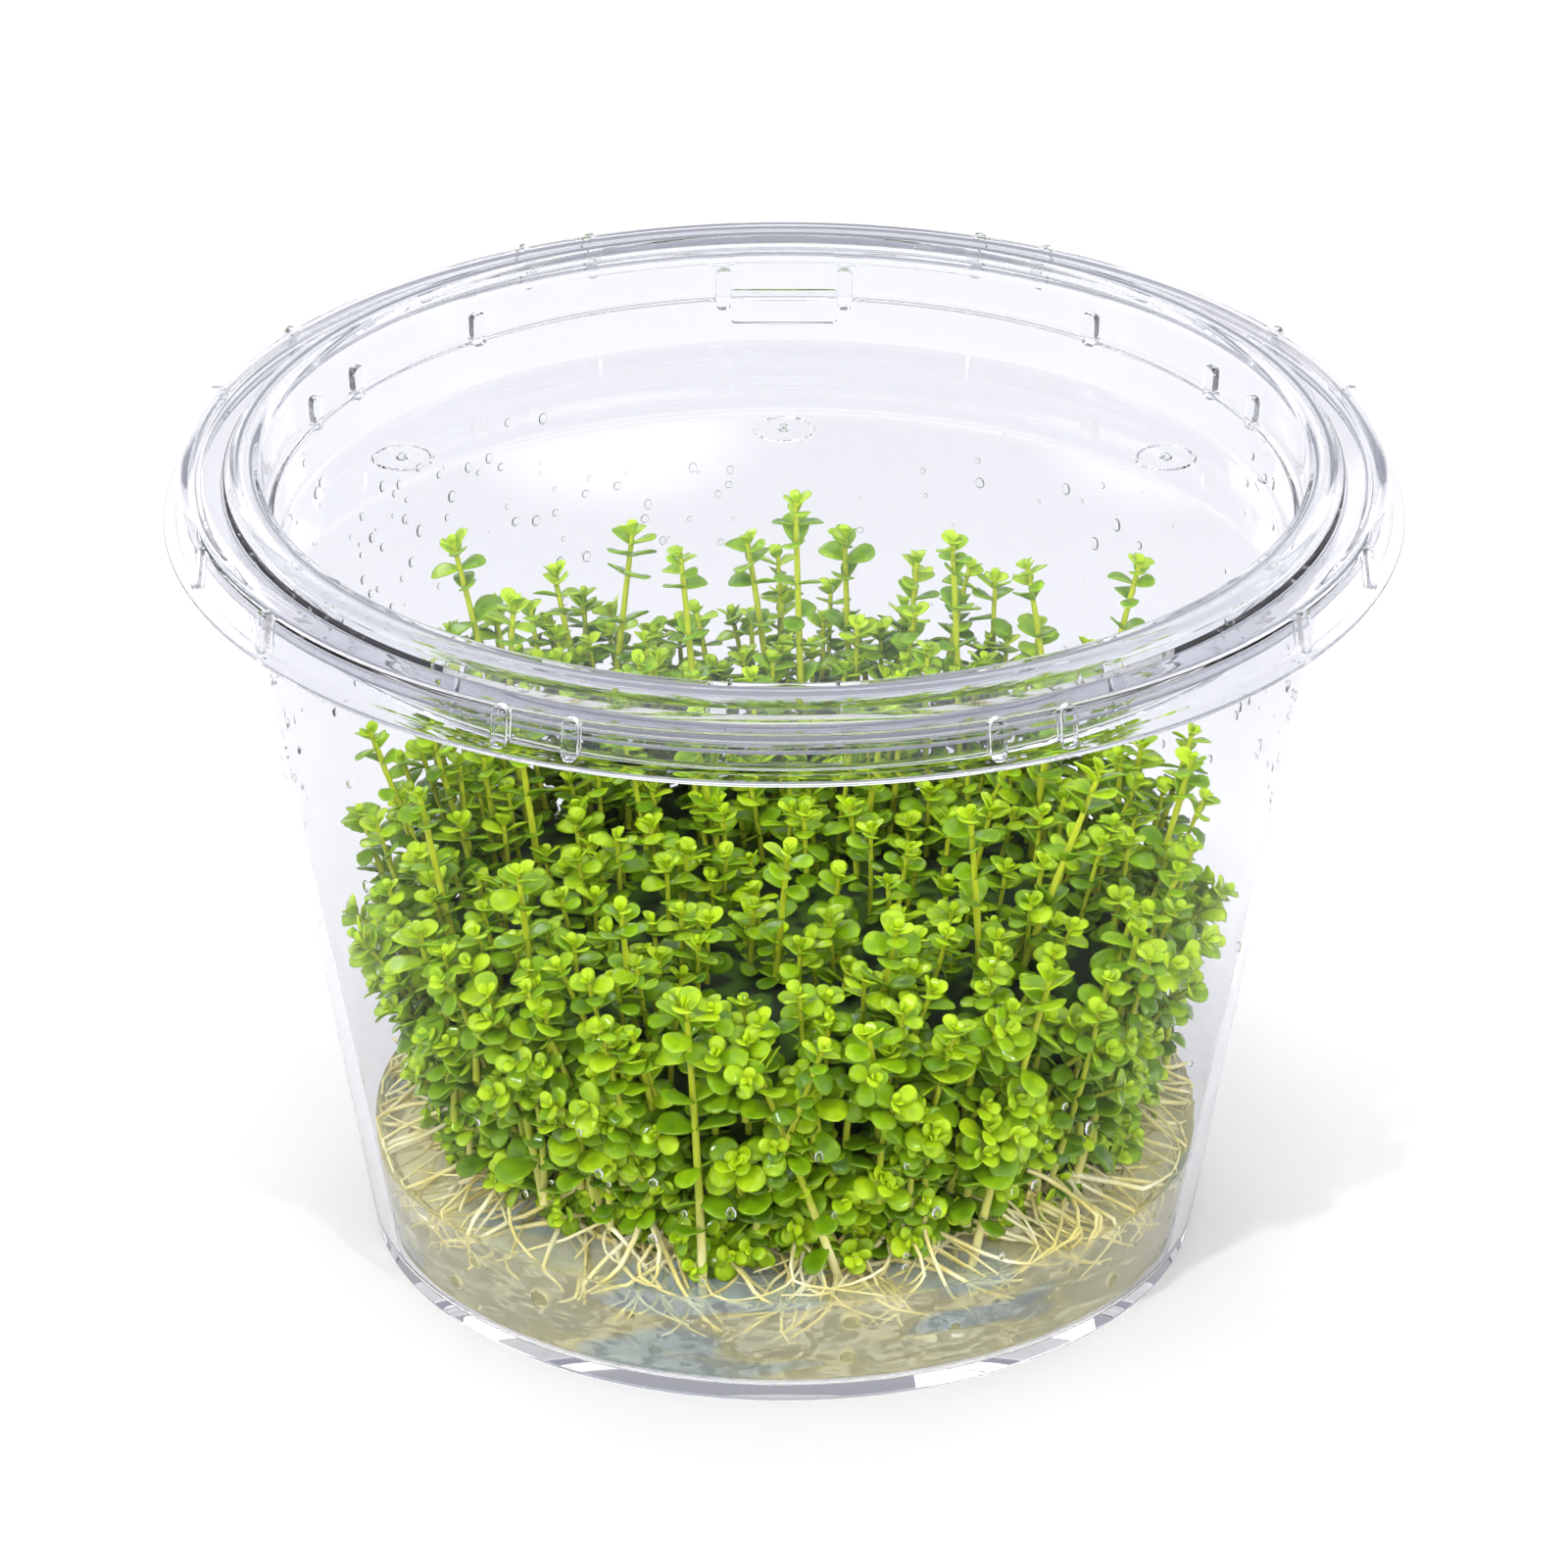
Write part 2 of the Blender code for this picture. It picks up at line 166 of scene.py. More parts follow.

# %% [markdown]
# Everything that grew or set here is a little uneven: leaves are patchy, roots are bleached in
# places, and the gel has clouds in it. One node group makes those patches, and each material gives
# it a scale of its own and puts its own colours on the result. The same patches also carry painted
# light: on the gel they are partly painted caustics and painted shadow, and on the dark mass in the
# stand they are painted shade. The gel's patches lie flat, so the group also takes how much the
# pattern is pressed together along the height.

# %% Uneven growth and painted light
def uneven_group():
    group = bpy.data.node_groups.new("uneven_growth_and_painted_light", "ShaderNodeTree")
    group.interface.new_socket("Patch Scale", in_out="INPUT", socket_type="NodeSocketFloat")
    group.interface.new_socket("Contrast", in_out="INPUT", socket_type="NodeSocketFloat")
    group.interface.new_socket("Pressing", in_out="INPUT", socket_type="NodeSocketVector")
    group.interface.new_socket("Patches", in_out="OUTPUT", socket_type="NodeSocketFloat")
    nodes = group.nodes
    links = group.links
    given = nodes.new("NodeGroupInput")
    result = nodes.new("NodeGroupOutput")
    place = nodes.new("ShaderNodeTexCoord")
    cloud = nodes.new("ShaderNodeTexNoise")
    cloud.inputs["Detail"].default_value = 1.0
    pressed = nodes.new("ShaderNodeVectorMath")
    pressed.operation = "MULTIPLY"
    links.new(place.outputs["Object"], pressed.inputs[0])
    links.new(given.outputs["Pressing"], pressed.inputs[1])
    links.new(pressed.outputs["Vector"], cloud.inputs["Vector"])
    links.new(given.outputs["Patch Scale"], cloud.inputs["Scale"])
    centred = nodes.new("ShaderNodeMath")
    centred.operation = "SUBTRACT"
    centred.inputs[1].default_value = 0.5
    links.new(cloud.outputs["Fac"], centred.inputs[0])
    spread = nodes.new("ShaderNodeMath")
    spread.operation = "MULTIPLY_ADD"
    spread.inputs[2].default_value = 0.5
    spread.use_clamp = True
    links.new(centred.outputs["Value"], spread.inputs[0])
    links.new(given.outputs["Contrast"], spread.inputs[1])
    links.new(spread.outputs["Value"], result.inputs["Patches"])
    return group


UNEVEN = uneven_group()
print("patches come from the node group", UNEVEN.name)


def patches(nodes, scale, contrast, pressing=1.0):
    node = nodes.new("ShaderNodeGroup")
    node.node_tree = UNEVEN
    node.inputs["Pressing"].default_value = (1.0, 1.0, pressing)
    node.inputs["Patch Scale"].default_value = scale
    node.inputs["Contrast"].default_value = contrast
    return node.outputs["Patches"]


def ramp(nodes, stops):
    node = nodes.new("ShaderNodeValToRGB")
    elements = node.color_ramp.elements
    while len(elements) < len(stops):
        elements.new(0.5)
    for element, (position, colour) in zip(elements, stops):
        element.position = position
        element.color = (*colour, 1.0)
    return node


def sum_of(nodes, links, first, second, share):
    """The first value plus a share of the second, centred on a half."""
    node = nodes.new("ShaderNodeMath")
    node.operation = "MULTIPLY_ADD"
    node.inputs[1].default_value = share
    links.new(second, node.inputs[0])
    lowered = nodes.new("ShaderNodeMath")
    lowered.operation = "SUBTRACT"
    lowered.inputs[1].default_value = share / 2
    links.new(first, lowered.inputs[0])
    links.new(lowered.outputs["Value"], node.inputs[2])
    return node.outputs["Value"]


# %% [markdown]
# Living leaves differ: the youngest at a tip are yellow-lime and thin, the older ones deeper green.
# Each leaf carries its age in a mesh attribute called tone; side shoots that stand lower also get a
# lower tone, which is painted shade on the low leaves. Its distance from the midrib is in one called
# rim, and the rim is painted paler, partly a paler leaf margin and partly a painted sheen on the
# raised edge. So one material paints them all. A wet coat gives the small white highlights.

# %% Leaf material
def attribute(nodes, name):
    node = nodes.new("ShaderNodeAttribute")
    node.attribute_name = name
    return node.outputs["Fac"]


LEAF_GREENS = ((0.0, (0.012, 0.038, 0.001)), (0.35, (0.058, 0.160, 0.001)),
               (0.70, (0.190, 0.380, 0.002)), (1.0, (0.47, 0.68, 0.008)))


def leaf_material():
    mat, nodes, links, shader = new_material("pearlweed_leaf")
    # tone holds age and, for low shoots, painted shade; the patches add random tone.
    aged_and_shaded = sum_of(nodes, links, attribute(nodes, "tone"), patches(nodes, 900.0, 2.5), 0.18)
    greens = ramp(nodes, LEAF_GREENS)
    links.new(aged_and_shaded, greens.inputs["Fac"])
    # The rim is mixed towards pale lime: partly the leaf's paler margin, partly a painted sheen on its
    # glossy raised edge.
    pale_edge_and_sheen = nodes.new("ShaderNodeMix")
    pale_edge_and_sheen.data_type = "RGBA"
    pale_edge_and_sheen.inputs["B"].default_value = (0.50, 0.74, 0.02, 1.0)
    share = nodes.new("ShaderNodeMath")
    share.operation = "MULTIPLY"
    share.inputs[1].default_value = 0.30
    links.new(attribute(nodes, "rim"), share.inputs[0])
    links.new(share.outputs["Value"], pale_edge_and_sheen.inputs["Factor"])
    links.new(greens.outputs["Color"], pale_edge_and_sheen.inputs["A"])
    links.new(pale_edge_and_sheen.outputs["Result"], shader.inputs["Base Color"])
    dimples = nodes.new("ShaderNodeBump")
    dimples.inputs["Strength"].default_value = 0.6
    dimples.inputs["Distance"].default_value = 0.00012
    links.new(patches(nodes, 1400.0, 1.0), dimples.inputs["Height"])
    links.new(dimples.outputs["Normal"], shader.inputs["Normal"])
    shader.inputs["Roughness"].default_value = 0.22
    shader.inputs["Specular IOR Level"].default_value = 0.05
    shader.inputs["Coat Weight"].default_value = 0.75
    shader.inputs["Coat Roughness"].default_value = 0.18
    return mat


# %% [markdown]
# A stem is ivory where it leaves the gel, because no light greened it there, and yellow-green
# higher up. Roots are bleached ivory. Deep in the stand, where no light reaches, one dark mass stands
# for the old leaves there, its colour painted shade. Their materials read the height or the patches
# in the piece's own coordinates.

# %% Stem, root and shade materials
STEM_COLOURS = ((0.0, (0.92, 0.86, 0.46)), (0.10, (0.74, 0.70, 0.20)), (0.22, (0.42, 0.48, 0.03)),
                (1.0, (0.50, 0.58, 0.02)))
ROOT_COLOURS = ((0.2, (0.78, 0.68, 0.22)), (0.5, (0.92, 0.84, 0.38)), (0.8, (1.0, 0.96, 0.62)))
# Painted shade: the colours of the dark mass deep in the stand.
SHADE_COLOURS = ((0.3, (0.010, 0.025, 0.001)), (0.7, (0.050, 0.120, 0.002)))


def stem_material():
    mat, nodes, links, shader = new_material("pearlweed_stem")
    place = nodes.new("ShaderNodeTexCoord")
    split = nodes.new("ShaderNodeSeparateXYZ")
    links.new(place.outputs["Object"], split.inputs["Vector"])
    height = nodes.new("ShaderNodeMapRange")
    height.inputs["From Min"].default_value = 0.010
    height.inputs["From Max"].default_value = 0.060
    links.new(split.outputs["Z"], height.inputs["Value"])
    colours = ramp(nodes, STEM_COLOURS)
    uneven = sum_of(nodes, links, height.outputs["Result"], patches(nodes, 300.0, 2.0), 0.10)
    links.new(uneven, colours.inputs["Fac"])
    links.new(colours.outputs["Color"], shader.inputs["Base Color"])
    shader.inputs["Roughness"].default_value = 0.35
    shader.inputs["Specular IOR Level"].default_value = 0.1
    shader.inputs["Coat Weight"].default_value = 0.3
    shader.inputs["Coat Roughness"].default_value = 0.08
    return mat


def patchy_material(name, colours, scale, contrast, roughness):
    mat, nodes, links, shader = new_material(name)
    painted = ramp(nodes, colours)
    links.new(patches(nodes, scale, contrast), painted.inputs["Fac"])
    links.new(painted.outputs["Color"], shader.inputs["Base Color"])
    shader.inputs["Roughness"].default_value = roughness
    return mat


LEAF = leaf_material()
STEM = stem_material()
ROOT = patchy_material("root_ivory", ROOT_COLOURS, 260.0, 2.0, 0.35)
SHADE = patchy_material("deep_shade", SHADE_COLOURS, 350.0, 3.0, 0.9)
print("grown materials:", LEAF.name, STEM.name, ROOT.name, SHADE.name)

# %% [markdown]
# Nutrient gel is a clear jelly with a faint haze. Letting about a quarter of its surface answer as a
# cream-coloured solid gives that haze cheaply, where a true fog inside it would be slow to render.
# Its patches run from a grey blue, a painted shadow of the shaded floor seen through it, to a warm
# cream, the gel's own tint brightened into painted caustics. A jelly is never quite even, so a bump
# with long low waves bends what is seen through it.

# %% Gel material
# Painted light: the grey blue is painted floor shadow, the bright creams the gel's tint and painted
# caustics.
GEL_TINT_AND_PAINTED_LIGHT = ((0.15, (0.66, 0.77, 0.74)), (0.42, (0.98, 0.92, 0.50)), (0.75, (1.0, 0.97, 0.62)))
GEL_PATCH_SCALE = 55.0
GEL_CONTRAST = 5.0
GEL_PRESSING = 3.6
GEL_WAVES = 110.0
GEL_WAVE_HEIGHT = 0.4 * MM

GEL, nodes, links, gel_shader = new_material("nutrient_gel")
cream = ramp(nodes, GEL_TINT_AND_PAINTED_LIGHT)
links.new(patches(nodes, GEL_PATCH_SCALE, GEL_CONTRAST, GEL_PRESSING), cream.inputs["Fac"])
links.new(cream.outputs["Color"], gel_shader.inputs["Base Color"])
gel_shader.inputs["Transmission Weight"].default_value = 0.72
gel_shader.inputs["Roughness"].default_value = 0.0
gel_shader.inputs["IOR"].default_value = 1.34
waves = nodes.new("ShaderNodeBump")
waves.inputs["Strength"].default_value = 1.0
waves.inputs["Distance"].default_value = GEL_WAVE_HEIGHT
links.new(patches(nodes, GEL_WAVES, 1.0, 3.0), waves.inputs["Height"])
links.new(waves.outputs["Normal"], gel_shader.inputs["Normal"])
let_light_through(GEL, (0.99, 0.98, 0.94))
print("gel material:", GEL.name)

# %% [markdown]
# ## Turned plastic
#
# The cup and the lid are round mouldings, so each is a section spun about the upright axis. A
# section is a short list of corners, each with its own rounding, because the bright lines on clear
# plastic are those roundings. 192 steps keep the outline smooth close up.

# %% Sections
STEPS = 192
ARC_STEPS = 5


def rounded(corners):
    """Corners (radius, height, rounding) in mm become a path with an arc at each rounded corner."""
    path = []
    for i, (r, z, size) in enumerate(corners):
        here = Vector((r, z))
        if size == 0.0 or i in (0, len(corners) - 1):
            path.append(here)
            continue
        back = Vector(corners[i - 1][:2]) - here
        ahead = Vector(corners[i + 1][:2]) - here
        half = back.angle(ahead) / 2
        reach = min(size / math.tan(half), back.length * 0.49, ahead.length * 0.49)
        start = here + back.normalized() * reach
        end = here + ahead.normalized() * reach
        for step in range(ARC_STEPS + 1):
            t = step / ARC_STEPS
            path.append(start * (1 - t) ** 2 + here * 2 * t * (1 - t) + end * t ** 2)
    return path


def spin_section(path, steps=STEPS):
    """Spins a section that starts and ends on the axis into one closed skin."""
    bm = bmesh.new()
    verts = [bm.verts.new((p.x * MM, 0.0, p.y * MM)) for p in path]
    for first, second in zip(verts, verts[1:]):
        bm.edges.new((first, second))
    bmesh.ops.spin(bm, geom=bm.verts[:] + bm.edges[:], cent=(0, 0, 0), axis=(0, 0, 1),
                   angle=2 * math.pi, steps=steps, use_merge=True)
    bmesh.ops.remove_doubles(bm, verts=bm.verts, dist=0.000002)
    bmesh.ops.recalc_face_normals(bm, faces=bm.faces)
    return bm


# %% [markdown]
# The cup: a tapered wall on a flat floor with rounded edges inside and out, and a rim that turns
# outwards and down under the lid.

# %% The cup
CUP_BASE_R = 39.4
CUP_TAPER = 0.1735
CUP_WALL = 1.2
CUP_FLOOR = 1.4
RIM_TOP = 77.9
RIM_R = 55.7


def wall_radius(z):
    return CUP_BASE_R + CUP_TAPER * z


def inner_radius(z):
    return wall_radius(z) - CUP_WALL


cup_corners = (
    (0.0, CUP_FLOOR, 0.0),
    (inner_radius(CUP_FLOOR), CUP_FLOOR, 1.2),
    (inner_radius(RIM_TOP - 0.9), RIM_TOP - 0.9, 0.6),
    (inner_radius(RIM_TOP) + 0.6, RIM_TOP, 0.4),
    (RIM_R, RIM_TOP, 0.5),
    (RIM_R, RIM_TOP - 2.0, 0.35),
    (RIM_R - 0.75, RIM_TOP - 2.0, 0.35),
    (RIM_R - 0.75, RIM_TOP - 0.9, 0.3),
    (wall_radius(RIM_TOP - 0.9), RIM_TOP - 0.9, 0.5),
    (CUP_BASE_R, 0.0, 0.6),
    (0.0, 0.0, 0.0),
)
cup = piece_from_bmesh("cup_clear", spin_section(rounded(cup_corners)), CUP_PLASTIC)
settle(cup, "clear_plastic", "cup")

# %% [markdown]
# The lid is one thin sheet all over: a sunken panel, the wall of its well with a ledge, a raised
# bead, a flat land, the skirt and a flange. So its section is the upper face and a copy of it a
# wall's thickness lower, found by moving each corner along its mitre. Both run on into each other
# round the brim's edge.

# %% The lid's section
LID_THICK = 0.6
LID_PANEL_Z = 70.6
LID_PANEL_R = 46.7
LID_LEDGE_Z = 74.7
LID_WELL_R = 49.3
LID_BEAD_Z = 80.3
LID_LAND_Z = 79.0
LID_R = 56.85
LID_FLANGE_R = 58.5
LID_FLANGE_Z = 74.4

lid_corners = (
    (0.0, LID_PANEL_Z, 0.0),
    (LID_PANEL_R - 1.0, LID_PANEL_Z, 0.0),
    (LID_PANEL_R + 0.7, LID_PANEL_Z, 1.0),
    (LID_PANEL_R + 1.3, LID_LEDGE_Z, 0.25),
    (LID_WELL_R - 0.4, LID_LEDGE_Z + 0.1, 0.35),
    (LID_WELL_R, LID_BEAD_Z, 0.9),
    (LID_WELL_R + 2.7, LID_BEAD_Z, 0.9),
    (LID_WELL_R + 3.1, LID_LAND_Z, 0.4),
    (LID_R - 0.1, LID_LAND_Z + 0.35, 1.8),
    (LID_R + 0.45, LID_FLANGE_Z + 0.5, 0.5),
    (LID_FLANGE_R, LID_FLANGE_Z, 0.28),
)


def inward(corners, distance):
    """The same corners moved square to the section, away from its upper face."""
    moved = []
    for i, (r, z, size) in enumerate(corners):
        before = Vector(corners[max(i - 1, 0)][:2])
        after = Vector(corners[min(i + 1, len(corners) - 1)][:2])
        here = Vector((r, z))
        normals = [Vector((d.y, -d.x)).normalized() for d in (here - before, after - here) if d.length > 0]
        mitre = normals[0] + normals[-1]
        mitre *= distance / (1.0 + normals[0].dot(normals[-1])) if len(normals) > 1 else distance / 2
        moved.append((max(r + mitre.x, 0.0) if i else 0.0, z + mitre.y, size))
    return moved


under = inward(lid_corners, LID_THICK)
lid_bm = spin_section(rounded([*lid_corners, *under[::-1]]))
print("lid turned from", len(lid_corners) + len(under), "corners")

# %% [markdown]
# Short ribs with rounded ends stand on the skirt, lugs and a wide tab stand on the well's wall to
# hold a stacked cup off the panel, and three shallow rings with a nib mark the panel. They are
# moulded in one with the lid, so an exact union joins them: loose overlapping bodies would show
# false surfaces inside the clear plastic.

# %% Shapes of the lid's small features
RIB_ANGLES = (19.6, 26.6, 56.3, 71.5)
LUG_ANGLES = (37.7, 57.6, 67.0)
VENT_PLACES = ((-36.5, 19.2), (0.0, 25.7), (36.5, 19.2))


def all_round(angles):
    """The same angles to both sides of the front and of the back."""
    return [base + side * angle for base in (0, 180) for angle in angles for side in (1, -1)]


def on_ring(angle, radius, z, lean=0.0):
    """A frame with X along the ring and Y outwards; angle 0 is the front."""
    turn = Matrix.Rotation(math.radians(angle), 4, "Z")
    shift = Matrix.Translation((0.0, -radius * MM, z * MM))
    return turn @ shift @ Matrix.Rotation(math.radians(lean), 4, "X")


def add_pill(bm, matrix, width, depth, height, corner):
    """A block whose long edges and ends are rounded."""
    made = bmesh.ops.create_cube(bm, size=1.0)["verts"]
    bmesh.ops.scale(bm, vec=Vector((width, depth, height)) * MM, verts=made)
    bmesh.ops.transform(bm, matrix=matrix, verts=made)
    outward = (matrix.to_3x3() @ Vector((0, 1, 0))).normalized()
    along = [e for e in {e for v in made for e in v.link_edges}
             if abs((e.verts[0].co - e.verts[1].co).normalized().dot(outward)) > 0.9]
    bmesh.ops.bevel(bm, geom=along, offset=corner * MM, segments=5, profile=0.5,
                    affect="EDGES", material=-1)


def add_ring(bm, x, y, radius, z, width, height):
    """A low ring with a rounded crest, spun from a small section."""
    part = bmesh.new()
    low = z - 0.3
    section = ((radius - width, low), (radius - width, z), (radius - width * 0.4, z + height),
               (radius + width * 0.4, z + height), (radius + width, z), (radius + width, low))
    verts = [part.verts.new((r * MM, 0.0, h * MM)) for r, h in section]
    for first, second in zip(verts, verts[1:] + verts[:1]):
        part.edges.new((first, second))
    bmesh.ops.spin(part, geom=part.verts[:] + part.edges[:], cent=(0, 0, 0), axis=(0, 0, 1),
                   angle=2 * math.pi, steps=48, use_merge=True)
    bmesh.ops.recalc_face_normals(part, faces=part.faces)
    bmesh.ops.translate(part, vec=(x * MM, y * MM, 0.0), verts=part.verts)
    shape = bpy.data.meshes.new("ring")
    part.to_mesh(shape)
    part.free()
    bm.from_mesh(shape)
    bpy.data.meshes.remove(shape)


# %% The lid's small features
features = bmesh.new()
for angle in all_round(RIB_ANGLES):
    place = on_ring(angle, LID_R + 0.12, (LID_LAND_Z + LID_FLANGE_Z - 0.2) / 2, lean=-7.0)
    add_pill(features, place, 1.5, 1.4, 4.2, 0.7)
for angle in all_round(LUG_ANGLES):
    add_pill(features, on_ring(angle, LID_WELL_R - 0.6, LID_LEDGE_Z + 0.7), 1.6, 1.0, 3.4, 0.5)
for angle in (0, 180):
    add_pill(features, on_ring(angle, LID_WELL_R - 1.3, LID_LEDGE_Z - 1.2), 10.5, 1.0, 3.4, 0.5)
    for side in (-1, 1):
        place = on_ring(angle + side * 7.0, LID_WELL_R - 0.55, LID_LEDGE_Z + 0.6)
        add_pill(features, place, 1.5, 1.2, 4.2, 0.5)
for x, y in VENT_PLACES:
    add_ring(features, x, y, 2.8, LID_PANEL_Z, 0.22, 0.16)
    add_ring(features, x, y, 0.5, LID_PANEL_Z, 0.2, 0.3)
print("small features of the lid:", len(features.faces), "faces")

# %% Join the lid
cutter = piece_from_bmesh("lid_features", features, LID_PLASTIC)
lid = piece_from_bmesh("lid_clear", lid_bm, LID_PLASTIC)


def combine(obj, other, operation):
    """Joins other to obj or cuts it out of obj, for good."""
    join = obj.modifiers.new("Join", "BOOLEAN")
    join.operation = operation
    join.solver = "EXACT"
    join.use_self = True
    join.object = other
    solid = bpy.data.meshes.new_from_object(obj.evaluated_get(bpy.context.evaluated_depsgraph_get()))
    obj.modifiers.clear()
    obj.data = solid
    bpy.data.objects.remove(other)
    obj.data.polygons.foreach_set("use_smooth", [True] * len(obj.data.polygons))
    obj.data.set_sharp_from_angle(angle=SHARP)


combine(lid, cutter, "UNION")
settle(lid, "clear_plastic", "lid")

# %% [markdown]
# ## Copies in arrays
#
# Leaves, bubbles and drops are small shapes repeated up to thousands of times. An object per copy
# would take minutes, so one template is made with bmesh and its points are moved to every place at
# once with NumPy.

# %% Copies
def template_of(bm):
    """The points and faces of a small shape."""
    points = np.array([vert.co[:] for vert in bm.verts])
    faces = [[vert.index for vert in face.verts] for face in bm.faces]
    bm.free()
    return points, faces


def copies_at(places, points):
    """The points at every place, in one long array."""
    turns = np.array([[value for row in place for value in row] for place in places]).reshape(-1, 4, 4)
    whole = np.hstack([points, np.ones((len(points), 1))])
    return np.einsum("nij,vj->nvi", turns, whole)[:, :, :3].reshape(-1, 3)


def mesh_of_copies(name, points, faces, each, material):
    """One smooth mesh: points holds every copy, each of as many points as the template."""
    mesh = bpy.data.meshes.new(name)
    skins = [[i + first for i in face] for first in range(0, len(points), each) for face in faces]
    mesh.from_pydata(points.tolist(), [], skins)
    mesh.polygons.foreach_set("use_smooth", [True] * len(mesh.polygons))
    mesh.materials.append(material)
    obj = bpy.data.objects.new(name, mesh)
    bpy.context.collection.objects.link(obj)
    return obj


def ball(u_segments, v_segments):
    bm = bmesh.new()
    bmesh.ops.create_uvsphere(bm, u_segments=u_segments, v_segments=v_segments, radius=1.0)
    return template_of(bm)


# %% [markdown]
# ## The gel
#
# Nutrient gel is poured warm and sets against the wall, so it climbs a little where it touches.
# Bubbles that rest against the wall are round pits in the gel's side, so an exact difference cuts
# small spheres out of it. The large ones sit where the photograph shows them.

# %% Gel
GAP = 0.3
GEL_TOP = 10.7
GEL_EDGE = GEL_TOP + 0.6
GEL_FOOT = CUP_FLOOR + GAP

gel_corners = (
    (0.0, GEL_TOP, 0.0),
    (inner_radius(GEL_EDGE) - GAP - 1.3, GEL_TOP, 1.0),
    (inner_radius(GEL_EDGE) - GAP, GEL_EDGE, 0.1),
    (inner_radius(GEL_FOOT) - GAP, GEL_FOOT, 1.0),
    (0.0, GEL_FOOT, 0.0),
)
gel = piece_from_bmesh("gel_bed", spin_section(rounded(gel_corners)), GEL)

# %% Bubbles in the gel
LARGE_BUBBLES = (
    # angle from the front, height and radius
    (-35.6, 7.3, 1.15),
    (-52.4, 4.6, 0.85),
    (-18.0, 4.6, 0.80),
    (9.1, 8.6, 1.10),
    (8.9, 4.6, 0.95),
    (52.4, 4.8, 0.85),
    (-21.4, 8.2, 0.65),
    (-47.1, 8.4, 0.70),
    (24.0, 6.4, 0.60),
)
SMALL_BUBBLES = 80


def bubble_place(angle, height, size):
    """A ball whose centre lies inside the gel's side, so that the pit narrows at its mouth."""
    out = inner_radius(height) - GAP - size * 0.6
    turn = Matrix.Rotation(math.radians(angle), 4, "Z")
    return turn @ Matrix.Translation((0.0, -out * MM, height * MM)) @ Matrix.Scale(size * MM, 4)


rng = random.Random(11)
pits = [bubble_place(*bubble) for bubble in LARGE_BUBBLES]
for _ in range(SMALL_BUBBLES):
    size = rng.choice((0.15, 0.2, 0.25, 0.3, 0.45))
    pits.append(bubble_place(rng.uniform(0, 360), rng.uniform(GEL_FOOT + 1.2, GEL_TOP - 0.7), size))
points, faces = ball(14, 10)
bubbles = mesh_of_copies("gel_bubbles", copies_at(pits, points), faces, len(points), GEL)
combine(gel, bubbles, "DIFFERENCE")
settle(gel, "nutrient_gel", "gel")

# %% [markdown]
# ## Leaves
#
# A pearlweed leaf is a plump oval about 3 mm long, widest past its middle and narrow at the foot.
# The template is a sphere pressed flat and drawn into that outline, its sides turned up a little.
# Leaves that would pierce the wall are pressed flat against it instead, as they are in the cup.

# %% One leaf
LEAF_WIDTH = 0.86
LEAF_PLUMP = 0.15


def leaf_template(u_segments, v_segments):
    """A leaf with its foot at the origin and its tip at X = 1, and the rim value of each point."""
    bm = bmesh.new()
    bmesh.ops.create_uvsphere(bm, u_segments=u_segments, v_segments=v_segments, radius=1.0)
    bmesh.ops.rotate(bm, matrix=Matrix.Rotation(math.radians(90), 3, "Y"), verts=bm.verts)
    rim = []
    for vert in bm.verts:
        t = (vert.co.x + 1.0) / 2.0
        across = vert.co.y
        rim.append(min(1.0, abs(across) ** 3 + max(0.0, t - 0.85) * 4.0))
        y = across * LEAF_WIDTH / 2 * (0.62 + 0.62 * t)
        z = vert.co.z * LEAF_PLUMP / 2 + 0.50 * y * y - 0.22 * t * t + 0.12 * t
        vert.co = Vector((t, y, z))
    return *template_of(bm), np.array(rim)


FINE_LEAF = leaf_template(10, 8)
PLAIN_LEAF = leaf_template(6, 6)
BACK_LEAF = leaf_template(6, 5)
for leaf in (FINE_LEAF, PLAIN_LEAF, BACK_LEAF):
    print("leaf of", len(leaf[1]), "faces")


def leaf_place(foot, axis, yaw, rise, roll, length):
    """Where a leaf goes: foot in mm, the stem's direction there, then its own turn, rise and roll."""
    along = Vector((0, 0, 1)).rotation_difference(axis).to_matrix().to_4x4()
    turn = Matrix.Rotation(yaw, 4, "Z") @ Matrix.Rotation(-rise, 4, "Y") @ Matrix.Rotation(roll, 4, "X")
    return Matrix.Translation(foot * MM) @ along @ turn @ Matrix.Scale(length * MM, 4)


# %% Leaves by the thousand
WALL_SPARE = 0.15
PRESS = 1.3


def kept_off_wall(points):
    """Presses what nears the cup's wall into the last millimetre before it."""
    limit = (inner_radius(points[:, 2] / MM) - WALL_SPARE) * MM
    out = np.hypot(points[:, 0], points[:, 1])
    over = np.maximum(out - (limit - PRESS * MM), 0.0)
    pressed = np.where(over > 0, limit - PRESS * MM * np.exp(-over / (PRESS * MM)), out)
    points[:, :2] *= (pressed / np.maximum(out, 1e-9))[:, None]
    return points


def join_leaves(name, leaves, template):
    """One mesh of all the leaves, given as (place, tone), with tone and rim attributes."""
    points, faces, rim = template
    moved = kept_off_wall(copies_at([place for place, tone in leaves], points))
    obj = mesh_of_copies(name, moved, faces, len(points), LEAF)
    tones = np.repeat([tone for place, tone in leaves], len(points))
    obj.data.attributes.new("tone", "FLOAT", "POINT").data.foreach_set("value", tones)
    obj.data.attributes.new("rim", "FLOAT", "POINT").data.foreach_set("value", np.tile(rim, len(leaves)))
    return obj


